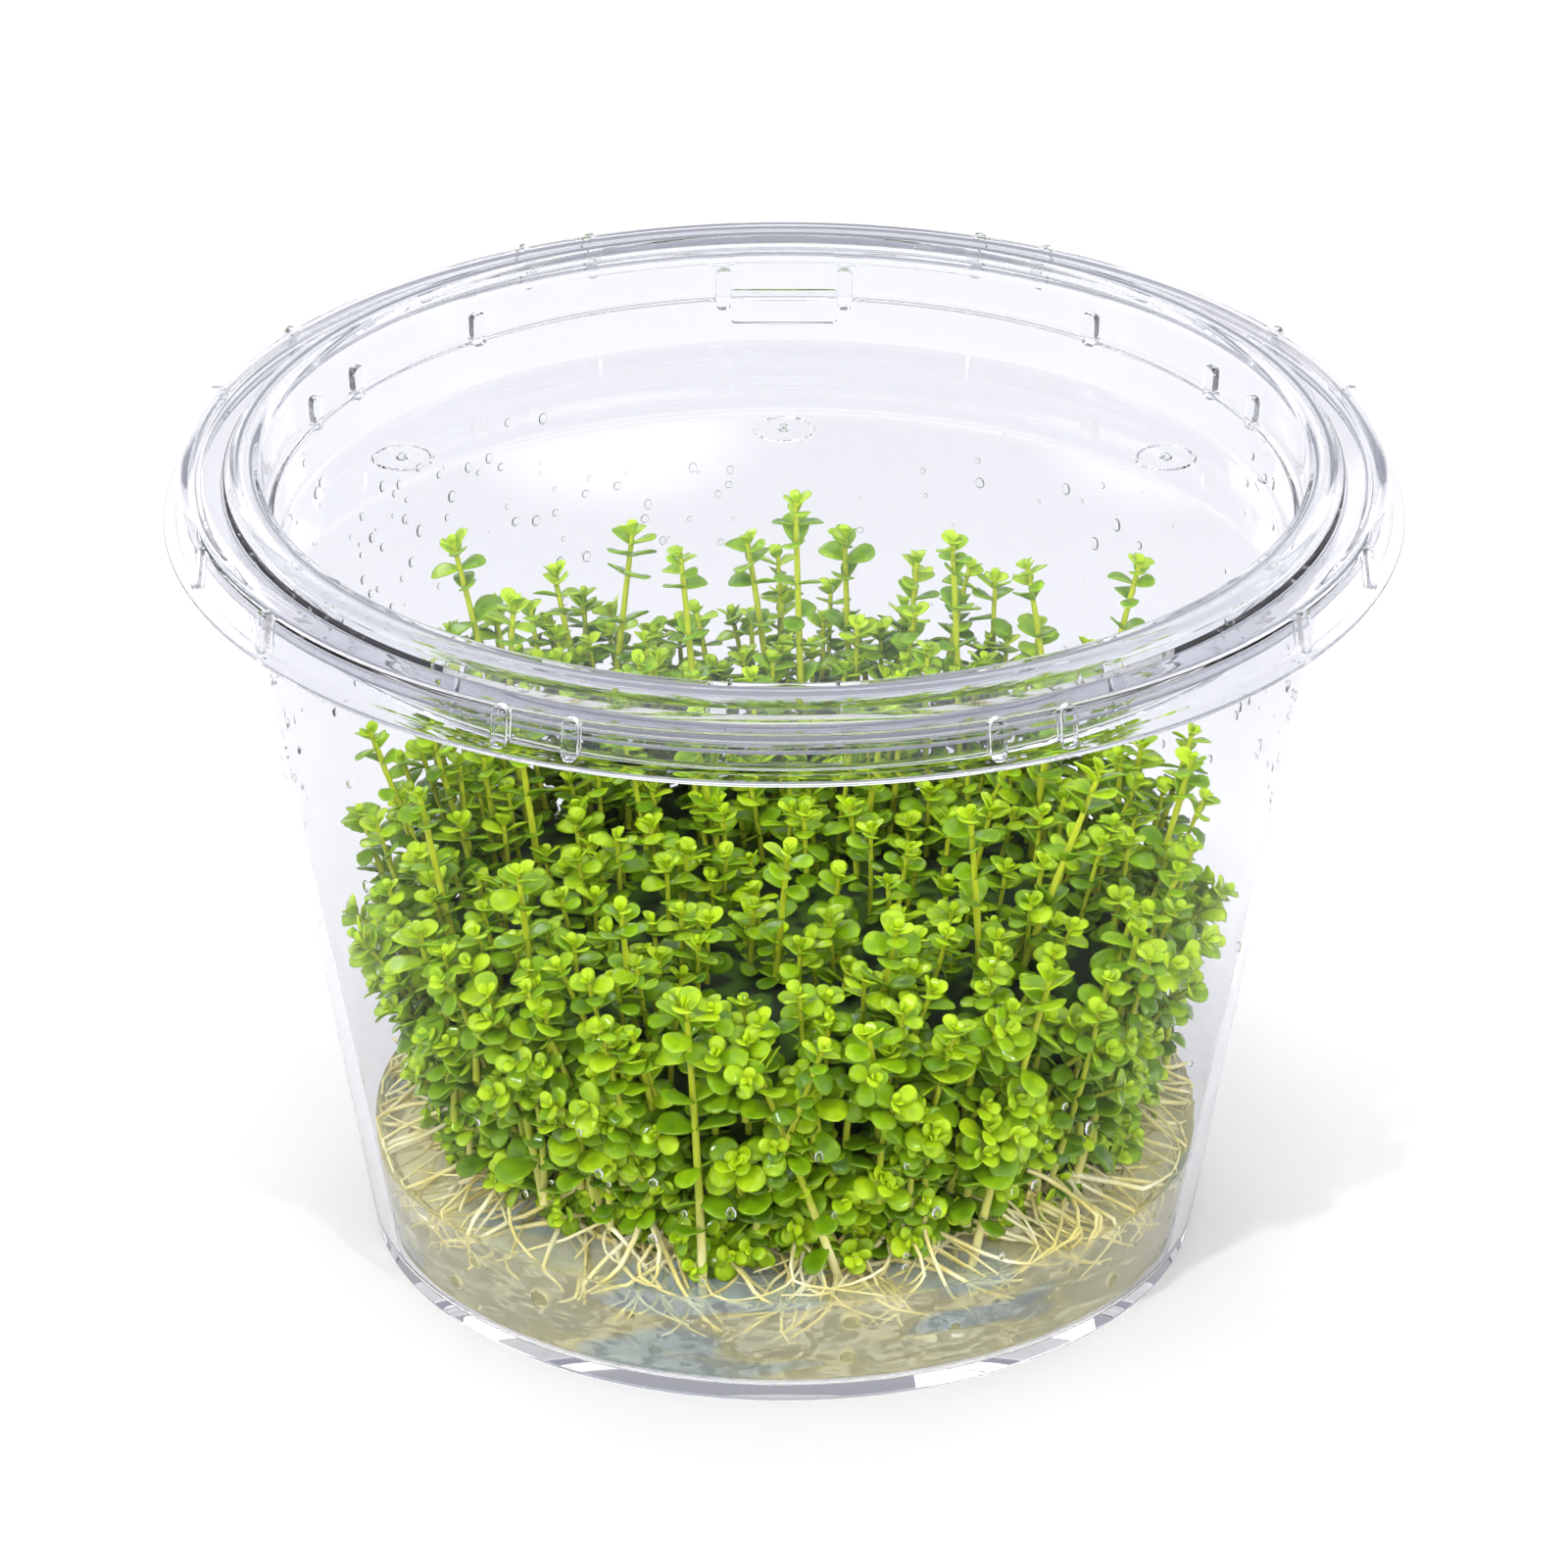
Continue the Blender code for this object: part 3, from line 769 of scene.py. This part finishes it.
# %% [markdown]
# ## Stems
#
# A stem is a thin tube on a bent path. Curves with a round bevel draw it, many splines to one curve
# object, and the result is kept as a mesh. Along each stem the leaves stand in pairs, each pair
# square to the last. Near the tip the pairs crowd into a rosette of small upright leaves, and lower
# down they are further apart, larger and flatter.

# %% Tubes
def tubes(name, paths, thickness, material, sides=1):
    """One mesh of round tubes. Each path is a list of (point in mm, share of the thickness)."""
    curve = bpy.data.curves.new(name, "CURVE")
    curve.dimensions = "3D"
    curve.bevel_depth = thickness / 2 * MM
    curve.bevel_resolution = sides
    curve.use_fill_caps = True
    for path in paths:
        spline = curve.splines.new("POLY")
        spline.points.add(len(path) - 1)
        for point, (place, share) in zip(spline.points, path):
            point.co = (*(place * MM), 1.0)
            point.radius = share
    holder = bpy.data.objects.new(name + "_curve", curve)
    bpy.context.collection.objects.link(holder)
    mesh = bpy.data.meshes.new_from_object(holder.evaluated_get(bpy.context.evaluated_depsgraph_get()))
    bpy.data.objects.remove(holder)
    mesh.name = name
    mesh.polygons.foreach_set("use_smooth", [True] * len(mesh.polygons))
    mesh.materials.clear()
    mesh.materials.append(material)
    obj = bpy.data.objects.new(name, mesh)
    bpy.context.collection.objects.link(obj)
    return obj


# %% Growth
TIP_STEPS = (0.4, 0.8, 1.3, 2.1)            # mm between the pairs from the tip down, before they even out
TIP_SIZES = (0.42, 0.68, 0.90, 1.0)         # leaf size there, as a share of a grown leaf
TIP_RISES = (64, 44, 28, 16)                # degrees above the stem's square
TIP_TONES = (1.0, 0.92, 0.82, 0.72)
PATH_POINTS = 6


def bent(foot, knee, tip, t):
    """A point on the stem, 0 at the foot and 1 at the tip, drawn towards the knee between."""
    return foot * (1 - t) ** 2 + knee * 2 * t * (1 - t) + tip * t * t


def grow(foot, knee, tip, rng, leaf, spacing, bare_below, age_and_shade=0.62, rises=(-30, 30)):
    """One stem's path and its leaves as (place, tone). Leaf is a grown leaf's length in mm."""
    length = (tip - foot).length
    yaw = rng.uniform(0, math.pi)
    leaves = []
    down = 0.2
    level = 0
    while down < length - 1.0:
        t = 1.0 - down / length
        place = bent(foot, knee, tip, t)
        if place.z < bare_below:
            break
        axis = bent(foot, knee, tip, t + 0.04) - bent(foot, knee, tip, t - 0.04)
        near = level < len(TIP_STEPS)
        share = TIP_SIZES[level] if near else rng.uniform(0.85, 1.1)
        rise = TIP_RISES[level] if near else rng.uniform(*rises)
        # Down the stem the tone falls with age; the starting value is set lower for low shoots, as painted
        # shade.
        tone = TIP_TONES[level] if near else max(0.2, age_and_shade - 0.012 * down)
        for side in (0.0, math.pi):
            turn = yaw + side + math.radians(rng.uniform(-20, 20))
            lift = math.radians(rise + rng.uniform(-16, 16))
            roll = math.radians(rng.uniform(-28, 28))
            size = leaf * share * rng.uniform(0.82, 1.12)
            where = leaf_place(place, axis, turn, lift, roll, size)
            leaves.append((where, tone + rng.uniform(-0.14, 0.14)))
        yaw += math.pi / 2 + math.radians(rng.uniform(-15, 15))
        down += (TIP_STEPS[level] * leaf / 3.0 if near else spacing * rng.uniform(0.75, 1.25))
        level += 1
    path = []
    for i in range(PATH_POINTS):
        t = i / (PATH_POINTS - 1)
        path.append((bent(foot, knee, tip, t), 1.1 - 0.45 * t))
    return path, leaves


# %% [markdown]
# ## The carpet
#
# The stand is a few hundred stems rooted side by side. Their feet lie on a hexagonal grid with
# every place shaken, and the stems fan outwards as the cup widens. How high each one grows is read
# from the CAD carpet under it, so both have one form. Only the upper leaves and those round the edge
# are seen, so the stems are bare inside, where a dark lumpy mass stands for the old leaves, coloured
# as painted shade because no light reaches them. Short sprigs at the back raise the stand there.

# %% Places in the stand
carpet_form = BVHTree.FromObject(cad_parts["pearlweed_carpet"], bpy.context.evaluated_depsgraph_get())
rng = random.Random(5)
carpet_paths = []
carpet_leaves = []


def shaken(point, amount):
    return point + Vector((rng.uniform(-amount, amount), rng.uniform(-amount, amount), 0.0))


def form_height(x, y):
    """How high the CAD carpet's surface lies over a place, in mm."""
    hit = carpet_form.ray_cast(Vector((x, y, 100.0)) * MM, Vector((0, 0, -1)))[0]
    return hit.z / MM


def inside_wall(point, spare):
    """The same point, brought in to leave some room to the wall."""
    limit = inner_radius(point.z) - spare
    out = point.xy.length
    if out > limit:
        point.xy = point.xy * (limit / out)
    return point


def add_stem(foot, knee, tip, leaf, spacing, bare, age_and_shade=0.58):
    path, leaves = grow(foot, knee, inside_wall(tip, 2.4), rng, leaf, spacing, bare, age_and_shade)
    carpet_paths.append(path)
    carpet_leaves.extend(leaves)


# %% Stems on a grid
STAND_R = 33.5
TOP_SPREAD = 1.24
STEM_GRID = 3.9
CARPET_LEAF = 2.75
BACK_RISE = 3.2
LEANING_FROM = 26.0
LEAN = 6.0
INSET = 0.94
feet = []
row_step = STEM_GRID * math.sqrt(3) / 2
for row in range(-12, 13):
    for column in range(-12, 13):
        foot = shaken(Vector(((column + 0.5 * (row % 2)) * STEM_GRID, row * row_step, GEL_TOP - 0.6)), 1.3)
        if foot.xy.length < STAND_R:
            feet.append(foot)
for foot in feet:
    out = foot.xy.length
    tip = shaken(Vector((foot.x * TOP_SPREAD, foot.y * TOP_SPREAD, 0.0)), 2.0)
    if out > LEANING_FROM:
        sideways = Vector((-foot.y, foot.x, 0.0)).normalized()
        foot = foot * INSET + sideways * rng.uniform(-LEAN, LEAN)
        foot.z = GEL_TOP - 0.6
    tip.z = form_height(tip.x * 0.97, tip.y * 0.97) - rng.uniform(-0.5, 4.5)
    tip.z += BACK_RISE * rng.uniform(0.4, 1.0) * min(max(tip.y / 30.0, 0.0), 1.0)
    knee = shaken(foot.lerp(tip, 0.55), 2.5)
    add_stem(foot, knee, tip, CARPET_LEAF * rng.uniform(0.8, 1.1), 2.8, 12.0 if out > 29.0 else 33.0)
print(len(carpet_paths), "stems on the grid")

# %% Sprigs at the back
SPRIGS = 40
for _ in range(SPRIGS):
    tip = Vector((rng.uniform(-38, 38), rng.uniform(6, 40), 0.0))
    tip.xy *= min(1.0, 41.0 / tip.xy.length)
    tip.z = form_height(tip.x * 0.95, tip.y * 0.95) + rng.uniform(1.0, 5.0)
    foot = shaken(Vector((tip.x * 0.9, tip.y * 0.9, 30.0)), 2.5)
    add_stem(foot, shaken(foot.lerp(tip, 0.5), 1.5), tip, CARPET_LEAF * rng.uniform(0.8, 1.05), 3.2, 36.0)
print(len(carpet_paths), "upright stems,", len(carpet_leaves), "leaves")

# %% [markdown]
# Side shoots fill the face that the wall shows, from just over the roots to three quarters of the
# height. They start upright and lean out to the light, so their rosettes look at the wall and hide
# the bare stems behind them.

# %% Grow the side shoots
SIDE_SHOOTS = 490
LOW_SHOOTS = 160
for _ in range(SIDE_SHOOTS):
    angle = rng.uniform(0, 2 * math.pi)
    outward = Vector((math.sin(angle), -math.cos(angle), 0.0))
    height = 14.0 + 24.5 * rng.random() ** 1.3
    edge = min(inner_radius(height) - 2.0, 32.5 + (height - 13.0) * 0.55)
    tip = shaken(outward * rng.uniform(edge - 5.0, edge) + Vector((0, 0, height)), 1.5)
    foot = outward * rng.uniform(edge - 10.0, edge - 5.0)
    foot.z = max(GEL_TOP, height - rng.uniform(9.0, 15.0))
    knee = Vector((foot.x, foot.y, foot.z * 0.35 + tip.z * 0.65))
    # The tone falls with the shoot's height: painted shade on the low leaves.
    add_stem(foot, knee, tip, CARPET_LEAF * rng.uniform(0.85, 1.2), 2.8, 12.0, 0.36 + 0.008 * height)
for _ in range(LOW_SHOOTS):
    angle = rng.uniform(0, 2 * math.pi)
    outward = Vector((math.sin(angle), -math.cos(angle), 0.0))
    tip = shaken(outward * rng.uniform(31.5, 35.5) + Vector((0, 0, rng.uniform(12.5, 18.5))), 1.5)
    foot = outward * rng.uniform(26.0, 30.0) + Vector((0, 0, GEL_TOP + 1.0))
    # A low tone: painted shade down by the gel.
    add_stem(foot, foot.lerp(tip, 0.5), tip, CARPET_LEAF * rng.uniform(0.8, 1.15), 2.4, 11.8, 0.42)
print(len(carpet_paths), "stems with the side shoots,", len(carpet_leaves), "leaves")

# %% [markdown]
# A few shoots stand right behind the front wall, each where the photograph has one. Their leaves are
# the largest. Some are seen down to the gel, and the others leave from between the leaves.

# %% Grow the front shoots
FRONT_SHOOTS = (
    # the tip, how far the foot stands to the right of it and inwards, and the foot's height
    ((-9.0, -38.6, 42.0), 1.5, 3.5, 8.5),
    ((-2.7, -38.2, 36.0), 8.5, 3.5, 9.0),
    ((2.7, -38.0, 32.6), 2.5, 6.0, 19.0),
    ((7.7, -38.4, 38.8), 1.0, 6.5, 22.0),
    ((14.1, -35.8, 34.8), -1.0, 6.0, 20.0),
    ((24.6, -31.5, 41.5), -7.5, 0.0, 8.5),
    ((-13.2, -36.2, 35.0), 2.0, 6.0, 21.0),
    ((-21.9, -32.6, 38.2), 3.0, 5.0, 17.0),
    ((-27.4, -28.2, 38.0), 5.0, 1.0, 15.0),
    ((-34.0, -19.5, 40.0), 8.0, 0.0, 12.0),
    ((32.8, -20.5, 40.5), -5.5, 1.0, 13.0),
    ((19.0, -34.5, 27.0), -2.0, 5.0, 14.0),
    ((-4.5, -37.6, 25.0), 3.0, 5.0, 14.0),
    ((-19.0, -33.0, 26.0), 3.0, 4.0, 13.0),
)
FRONT_LEAF = 3.7
front_paths = []
front_leaves = []
for place, aside, inward_by, foot_height in FRONT_SHOOTS:
    tip = Vector(place)
    foot = Vector((tip.x + aside, tip.y + inward_by, foot_height))
    knee = shaken(foot.lerp(tip, 0.5), 1.5)
    path, leaves = grow(foot, knee, inside_wall(tip, 3.0), rng, FRONT_LEAF, 4.2, 14.5, 0.80)
    front_paths.append(path)
    front_leaves.extend(leaves)
front_stems = tubes("front_stems", front_paths, 0.85, STEM, sides=2)
settle(front_stems, "young_leaf", "pearlweed_carpet")
settle(join_leaves("front_leaves", front_leaves, FINE_LEAF), "young_leaf", "pearlweed_carpet")

# %% Join the carpet in quarters
settle(tubes("carpet_stems", carpet_paths, 0.72, STEM), "young_leaf", "pearlweed_carpet")
QUARTERS = (("front_right", PLAIN_LEAF), ("back_right", BACK_LEAF),
            ("back_left", BACK_LEAF), ("front_left", PLAIN_LEAF))
for number, (quarter, template) in enumerate(QUARTERS):
    chosen = []
    for place, tone in carpet_leaves:
        angle = math.atan2(place.translation.x, -place.translation.y) % (2 * math.pi)
        if int(angle // (math.pi / 2)) == number:
            chosen.append((place, tone))
    settle(join_leaves("carpet_leaves_" + quarter, chosen, template), "leaf", "pearlweed_carpet")

# %% The dark mass of painted shade in the stand
HEART_TOP = 35.0
HEART_FOOT = 13.0
heart_corners = (
    (0.0, HEART_TOP, 0.0),
    (inner_radius(HEART_TOP) - 10.5, HEART_TOP, 8.0),
    (inner_radius(HEART_FOOT) - 13.0, HEART_FOOT, 4.0),
    (0.0, HEART_FOOT, 0.0),
)
heart_bm = spin_section(rounded(heart_corners), steps=72)
bmesh.ops.subdivide_edges(heart_bm, edges=[e for e in heart_bm.edges if e.calc_length() > 0.006], cuts=3,
                          use_grid_fill=True)
for vert in heart_bm.verts:
    lump = noise.noise(vert.co / 0.004) * 1.8 + noise.noise(vert.co / 0.0015) * 0.6
    vert.co *= 1.0 + lump * MM / max(vert.co.length, 0.01)
heart = piece_from_bmesh("shade_painted_core", heart_bm, SHADE, sharp=math.pi)
settle(heart, "leaf", "pearlweed_carpet")

# %% [markdown]
# ## Tall shoots
#
# Some stems outgrow the rest. Each one stands where its CAD solid does: the tip and the lean are
# the same values, and the stem goes on down through the carpet to the gel.

# %% Grow the tall shoots
SHOOTS = (
    ((-32.0, 26.0, 58.0), (3.0, -2.0)),
    ((-26.0, 17.0, 56.0), (-1.0, -1.0)),
    ((-22.4, 31.0, 52.4), (2.0, -1.5)),
    ((-14.7, 30.0, 57.4), (-1.5, -1.5)),
    ((-10.0, 20.5, 59.5), (1.0, 0.5)),
    ((-3.6, 31.5, 55.8), (1.5, -1.0)),
    ((1.1, 23.5, 63.6), (0.5, 0.0)),
    ((5.9, 33.0, 55.6), (0.5, -1.0)),
    ((13.0, 31.0, 54.0), (-1.0, -1.0)),
    ((16.2, 21.0, 60.6), (0.5, 0.5)),
    ((23.6, 27.0, 55.2), (1.5, -1.5)),
    ((34.2, 18.5, 59.4), (-3.0, 0.5)),
    ((-39.2, 3.0, 50.6), (2.0, 0.5)),
    ((38.4, -1.0, 49.4), (-1.5, 0.5)),
    ((0.4, -23.0, 50.6), (-0.5, 1.5)),
    ((-24.6, -25.0, 49.2), (0.5, 1.0)),
    ((-15.0, -31.5, 48.6), (0.5, 1.5)),
    ((17.2, -22.0, 54.0), (0.5, 1.5)),
    ((-34.0, -13.0, 51.4), (1.5, 0.5)),
    ((10.4, -33.5, 47.6), (-0.5, 2.0)),
    ((29.5, -14.5, 55.0), (-4.0, -1.5)),
    ((-8.5, 3.0, 50.4), (1.0, 1.0)),
    ((9.5, 5.0, 51.2), (-1.0, 1.0)),
    ((-25.5, 4.0, 51.8), (1.0, -0.5)),
    ((25.5, 6.0, 52.6), (-1.0, 0.5)),
)
CARPET_TOP = 43.5
TALL_LEAF = 2.6
rng = random.Random(23)
for number, (tip, lean) in enumerate(SHOOTS, start=1):
    tip = Vector(tip)
    at_top = Vector((tip.x + lean[0], tip.y + lean[1], CARPET_TOP))
    foot = at_top + (at_top - tip).normalized() * (CARPET_TOP - 24.0)
    knee = shaken(foot.lerp(tip, 0.5), 0.7)
    leaf = TALL_LEAF * rng.uniform(0.85, 1.2)
    path, leaves = grow(foot, knee, tip, rng, leaf, rng.uniform(3.2, 5.0), 30.0, 0.68, (5, 50))
    name = "shoot_%02d" % number
    settle(tubes(name + "_stem", [path], 0.80, STEM, sides=2), "young_leaf", name)
    settle(join_leaves(name + "_leaves", leaves, FINE_LEAF), "young_leaf", name)

# %% [markdown]
# ## Roots
#
# Roots leave the foot of each stem, run out over the gel and dip into it. Each is a tapering tube
# that keeps curling one way and wanders a little by small random turns.

# %% Roots
ROOT_STEPS = 9
rng = random.Random(31)
root_paths = []
for foot in feet:
    out = foot.xy.length
    if out < 18.0:
        continue
    for _ in range(6 if out > 27.0 else 1):
        outward = math.atan2(foot.y, foot.x)
        heading = outward + rng.choice((-1, 1)) * rng.uniform(0.2, 1.7)
        curl = rng.uniform(-0.30, 0.30)
        point = Vector((foot.x, foot.y, rng.uniform(GEL_TOP + 0.5, GEL_TOP + 6.5)))
        step = rng.uniform(1.1, 2.4)
        sink = (point.z - GEL_TOP + rng.uniform(-1.0, 5.0)) / ROOT_STEPS
        thickness = rng.uniform(0.7, 1.5)
        path = []
        for i in range(ROOT_STEPS):
            path.append((point.copy(), thickness * (1.0 - 0.08 * i)))
            heading += curl + rng.uniform(-0.15, 0.15)
            ahead = point + Vector((math.cos(heading), math.sin(heading), 0.0)) * step
            ahead.z = max(ahead.z - sink + rng.uniform(-0.2, 0.2), GEL_FOOT + 0.8)
            point = inside_wall(ahead, 0.8)
        root_paths.append(path)
settle(tubes("root_tangle", root_paths, 0.52, ROOT), "root", "roots")

# %% [markdown]
# ## Condensation
#
# Water leaves the plants and gathers as drops on the inside of the wall, mostly at the sides above
# the leaves and at the back. A drop could be sculpted, but a sphere pressed against the wall bends
# the light in the same way and costs few faces.

# %% Drops on the wall
DROP_GROUPS = (
    # from and to angle (0 is the front, 90 the right side), from and to height, how many
    (-118, -72, 44, 70, 60),
    (72, 118, 44, 70, 60),
    (206, 240, 50, 64, 45),
    (183, 210, 47, 57, 24),
    (125, 165, 50, 62, 12),
    (-40, 40, 12, 30, 24),
    (40, 320, 14, 60, 60),
)
rng = random.Random(41)
drop_places = []
for start, end, low, high, count in DROP_GROUPS:
    for _ in range(count):
        angle = math.radians(rng.uniform(start, end))
        z = rng.uniform(low, high)
        size = rng.uniform(0.18, 0.62) ** 1.3
        shift = Matrix.Translation((0.0, -(inner_radius(z) - 0.05) * MM, z * MM))
        place = Matrix.Rotation(angle, 4, "Z") @ shift
        shape = Matrix.Diagonal((size, size * 0.45, size * rng.uniform(1.0, 1.5), 1.0))
        drop_places.append(place @ shape @ Matrix.Scale(MM, 4))
points, faces = ball(8, 6)
wet = mesh_of_copies("water_drops", copies_at(drop_places, points), faces, len(points), WATER)
settle(wet, "clear_plastic")

# %% [markdown]
# ## Studio
#
# A pale floor and a bright even sky with greyer sides, so that the clear edges have something darker
# to bend towards the camera. Soft lamps stand above, behind and at the sides, and a low fill in
# front lights the leaves that face the camera and hardly touches the floor. Two small hard keys put
# white glints on the wet leaves. Two small soft windows in the sky are seen only as mirror images on
# the lid's flat panel. The floor lies a hair under the cup, because two faces in one plane flicker.

# %% Floor
floor_mat, nodes, links, shader = new_material("studio_floor")
shader.inputs["Base Color"].default_value = (0.955, 0.955, 0.955, 1.0)
shader.inputs["Roughness"].default_value = 0.55
shader.inputs["Specular IOR Level"].default_value = 0.2
floor_bm = bmesh.new()
FLOOR_DROP = 0.04
bmesh.ops.create_grid(floor_bm, x_segments=1, y_segments=1, size=1.6)
bmesh.ops.translate(floor_bm, vec=(0.0, 0.0, -FLOOR_DROP * MM), verts=floor_bm.verts)
floor = piece_from_bmesh("studio_floor", floor_bm, floor_mat)

# %% Sky
world = bpy.data.worlds.new("studio")
bpy.context.scene.world = world
world.use_nodes = True
nodes = world.node_tree.nodes
links = world.node_tree.links
sky = nodes["Background"]
place = nodes.new("ShaderNodeTexCoord")
split = nodes.new("ShaderNodeSeparateXYZ")
links.new(place.outputs["Generated"], split.inputs["Vector"])
bands = ramp(nodes, ((0.50, (0.50, 0.51, 0.60)), (0.70, (0.44, 0.45, 0.51)), (0.86, (0.85, 0.85, 0.89)),
                     (0.95, (1.0, 1.0, 1.0))))
up = nodes.new("ShaderNodeMapRange")
up.inputs["From Min"].default_value = -1.0
up.inputs["From Max"].default_value = 1.0
links.new(split.outputs["Z"], up.inputs["Value"])
links.new(up.outputs["Result"], bands.inputs["Fac"])
sky.inputs["Strength"].default_value = 0.80
print("sky strength", sky.inputs["Strength"].default_value)

# %% Windows in the sky
WINDOWS = (
    # X and Z of the direction, half its width and half its height
    (-0.0148, 0.4191, 0.0125, 0.0058),
    (0.0326, 0.4185, 0.0105, 0.0062),
)
WINDOW_LIGHT = 1.3
colour = bands.outputs["Color"]
for x, z, half_width, half_height in WINDOWS:
    across = nodes.new("ShaderNodeVectorMath")
    across.operation = "MULTIPLY_ADD"
    across.inputs[1].default_value = (1 / half_width, 0.0, 1 / half_height)
    across.inputs[2].default_value = (-x / half_width, 0.0, -z / half_height)
    links.new(place.outputs["Generated"], across.inputs[0])
    away = nodes.new("ShaderNodeVectorMath")
    away.operation = "LENGTH"
    links.new(across.outputs["Vector"], away.inputs[0])
    glow = nodes.new("ShaderNodeMapRange")
    glow.interpolation_type = "SMOOTHSTEP"
    glow.inputs["From Min"].default_value = 1.25
    glow.inputs["From Max"].default_value = 0.45
    glow.inputs["To Max"].default_value = WINDOW_LIGHT
    links.new(away.outputs["Value"], glow.inputs["Value"])
    added = nodes.new("ShaderNodeMix")
    added.data_type = "RGBA"
    added.blend_type = "ADD"
    added.inputs["Factor"].default_value = 1.0
    links.new(colour, added.inputs["A"])
    links.new(glow.outputs["Result"], added.inputs["B"])
    colour = added.outputs["Result"]
links.new(colour, sky.inputs["Color"])
print(len(WINDOWS), "windows")


# %% Lamps
def softbox(name, place, aim, width, height, watts):
    data = bpy.data.lights.new(name, "AREA")
    data.shape = "RECTANGLE"
    data.size = width
    data.size_y = height
    data.energy = watts
    lamp = bpy.data.objects.new(name, data)
    bpy.context.collection.objects.link(lamp)
    lamp.location = place
    lamp.rotation_euler = (Vector(aim) - Vector(place)).to_track_quat("-Z", "Y").to_euler()


softbox("top_soft", (0.0, 0.1, 0.9), (0, 0, 0.03), 0.9, 0.9, 2.1)
softbox("front_fill", (0.0, -1.25, 0.28), (0, 0, 0.03), 0.9, 0.35, 3.0)
softbox("back_left_soft", (-0.42, 0.85, 0.55), (0, 0, 0.05), 0.45, 0.35, 1.6)
softbox("back_right_soft", (0.55, 0.80, 0.50), (0, 0, 0.05), 0.25, 0.35, 1.0)
softbox("left_soft", (-0.9, -0.25, 0.22), (0, 0, 0.03), 0.30, 0.40, 1.2)
softbox("right_soft", (0.9, -0.25, 0.22), (0, 0, 0.03), 0.30, 0.40, 1.2)
softbox("front_left_key", (-0.45, -0.65, 0.80), (0, 0, 0.03), 0.045, 0.045, 3.6)
softbox("front_right_key", (0.50, -0.75, 0.65), (0, 0, 0.03), 0.035, 0.035, 2.0)
print(len(bpy.data.lights), "lamps")

# %% [markdown]
# ## Camera
#
# Circles fitted to the rings of the cup and the lid give the viewing angle: 26.5 degrees above the
# horizon, from far enough away that the rings are almost true ellipses.

# %% Camera
VIEW_HEIGHT = 45.25 * MM
VIEW_ANGLE = math.radians(26.51)
VIEW_DISTANCE = 1.102
FOCAL_PX = 11801.0
PHOTO_PX = 1600.0

lens = bpy.data.cameras.new("camera")
lens.sensor_width = 36.0
lens.lens = FOCAL_PX / PHOTO_PX * lens.sensor_width
camera = bpy.data.objects.new("camera", lens)
bpy.context.collection.objects.link(camera)
back = VIEW_DISTANCE * math.cos(VIEW_ANGLE)
camera.location = (0.0, -back, VIEW_HEIGHT + VIEW_DISTANCE * math.sin(VIEW_ANGLE))
camera.rotation_euler = (math.radians(90) - VIEW_ANGLE, 0.0, 0.0)
scene = bpy.context.scene
scene.camera = camera
scene.view_settings.view_transform = "Standard"
print("lens", lens.lens, "mm")

# %% [markdown]
# Light that gets into a clear rim can run round in it for dozens of bounces before it comes out.
# Where such a path is cut short it ends black, so rims need a high limit, while two bounces from
# leaf to leaf are enough. Mirror light after a matt bounce can't be told in this picture, so it is
# left out to save time.

# %% Light paths
scene.cycles.max_bounces = 48
scene.cycles.transmission_bounces = 48
scene.cycles.glossy_bounces = 48
scene.cycles.diffuse_bounces = 2
scene.cycles.transparent_max_bounces = 24
scene.cycles.caustics_reflective = False
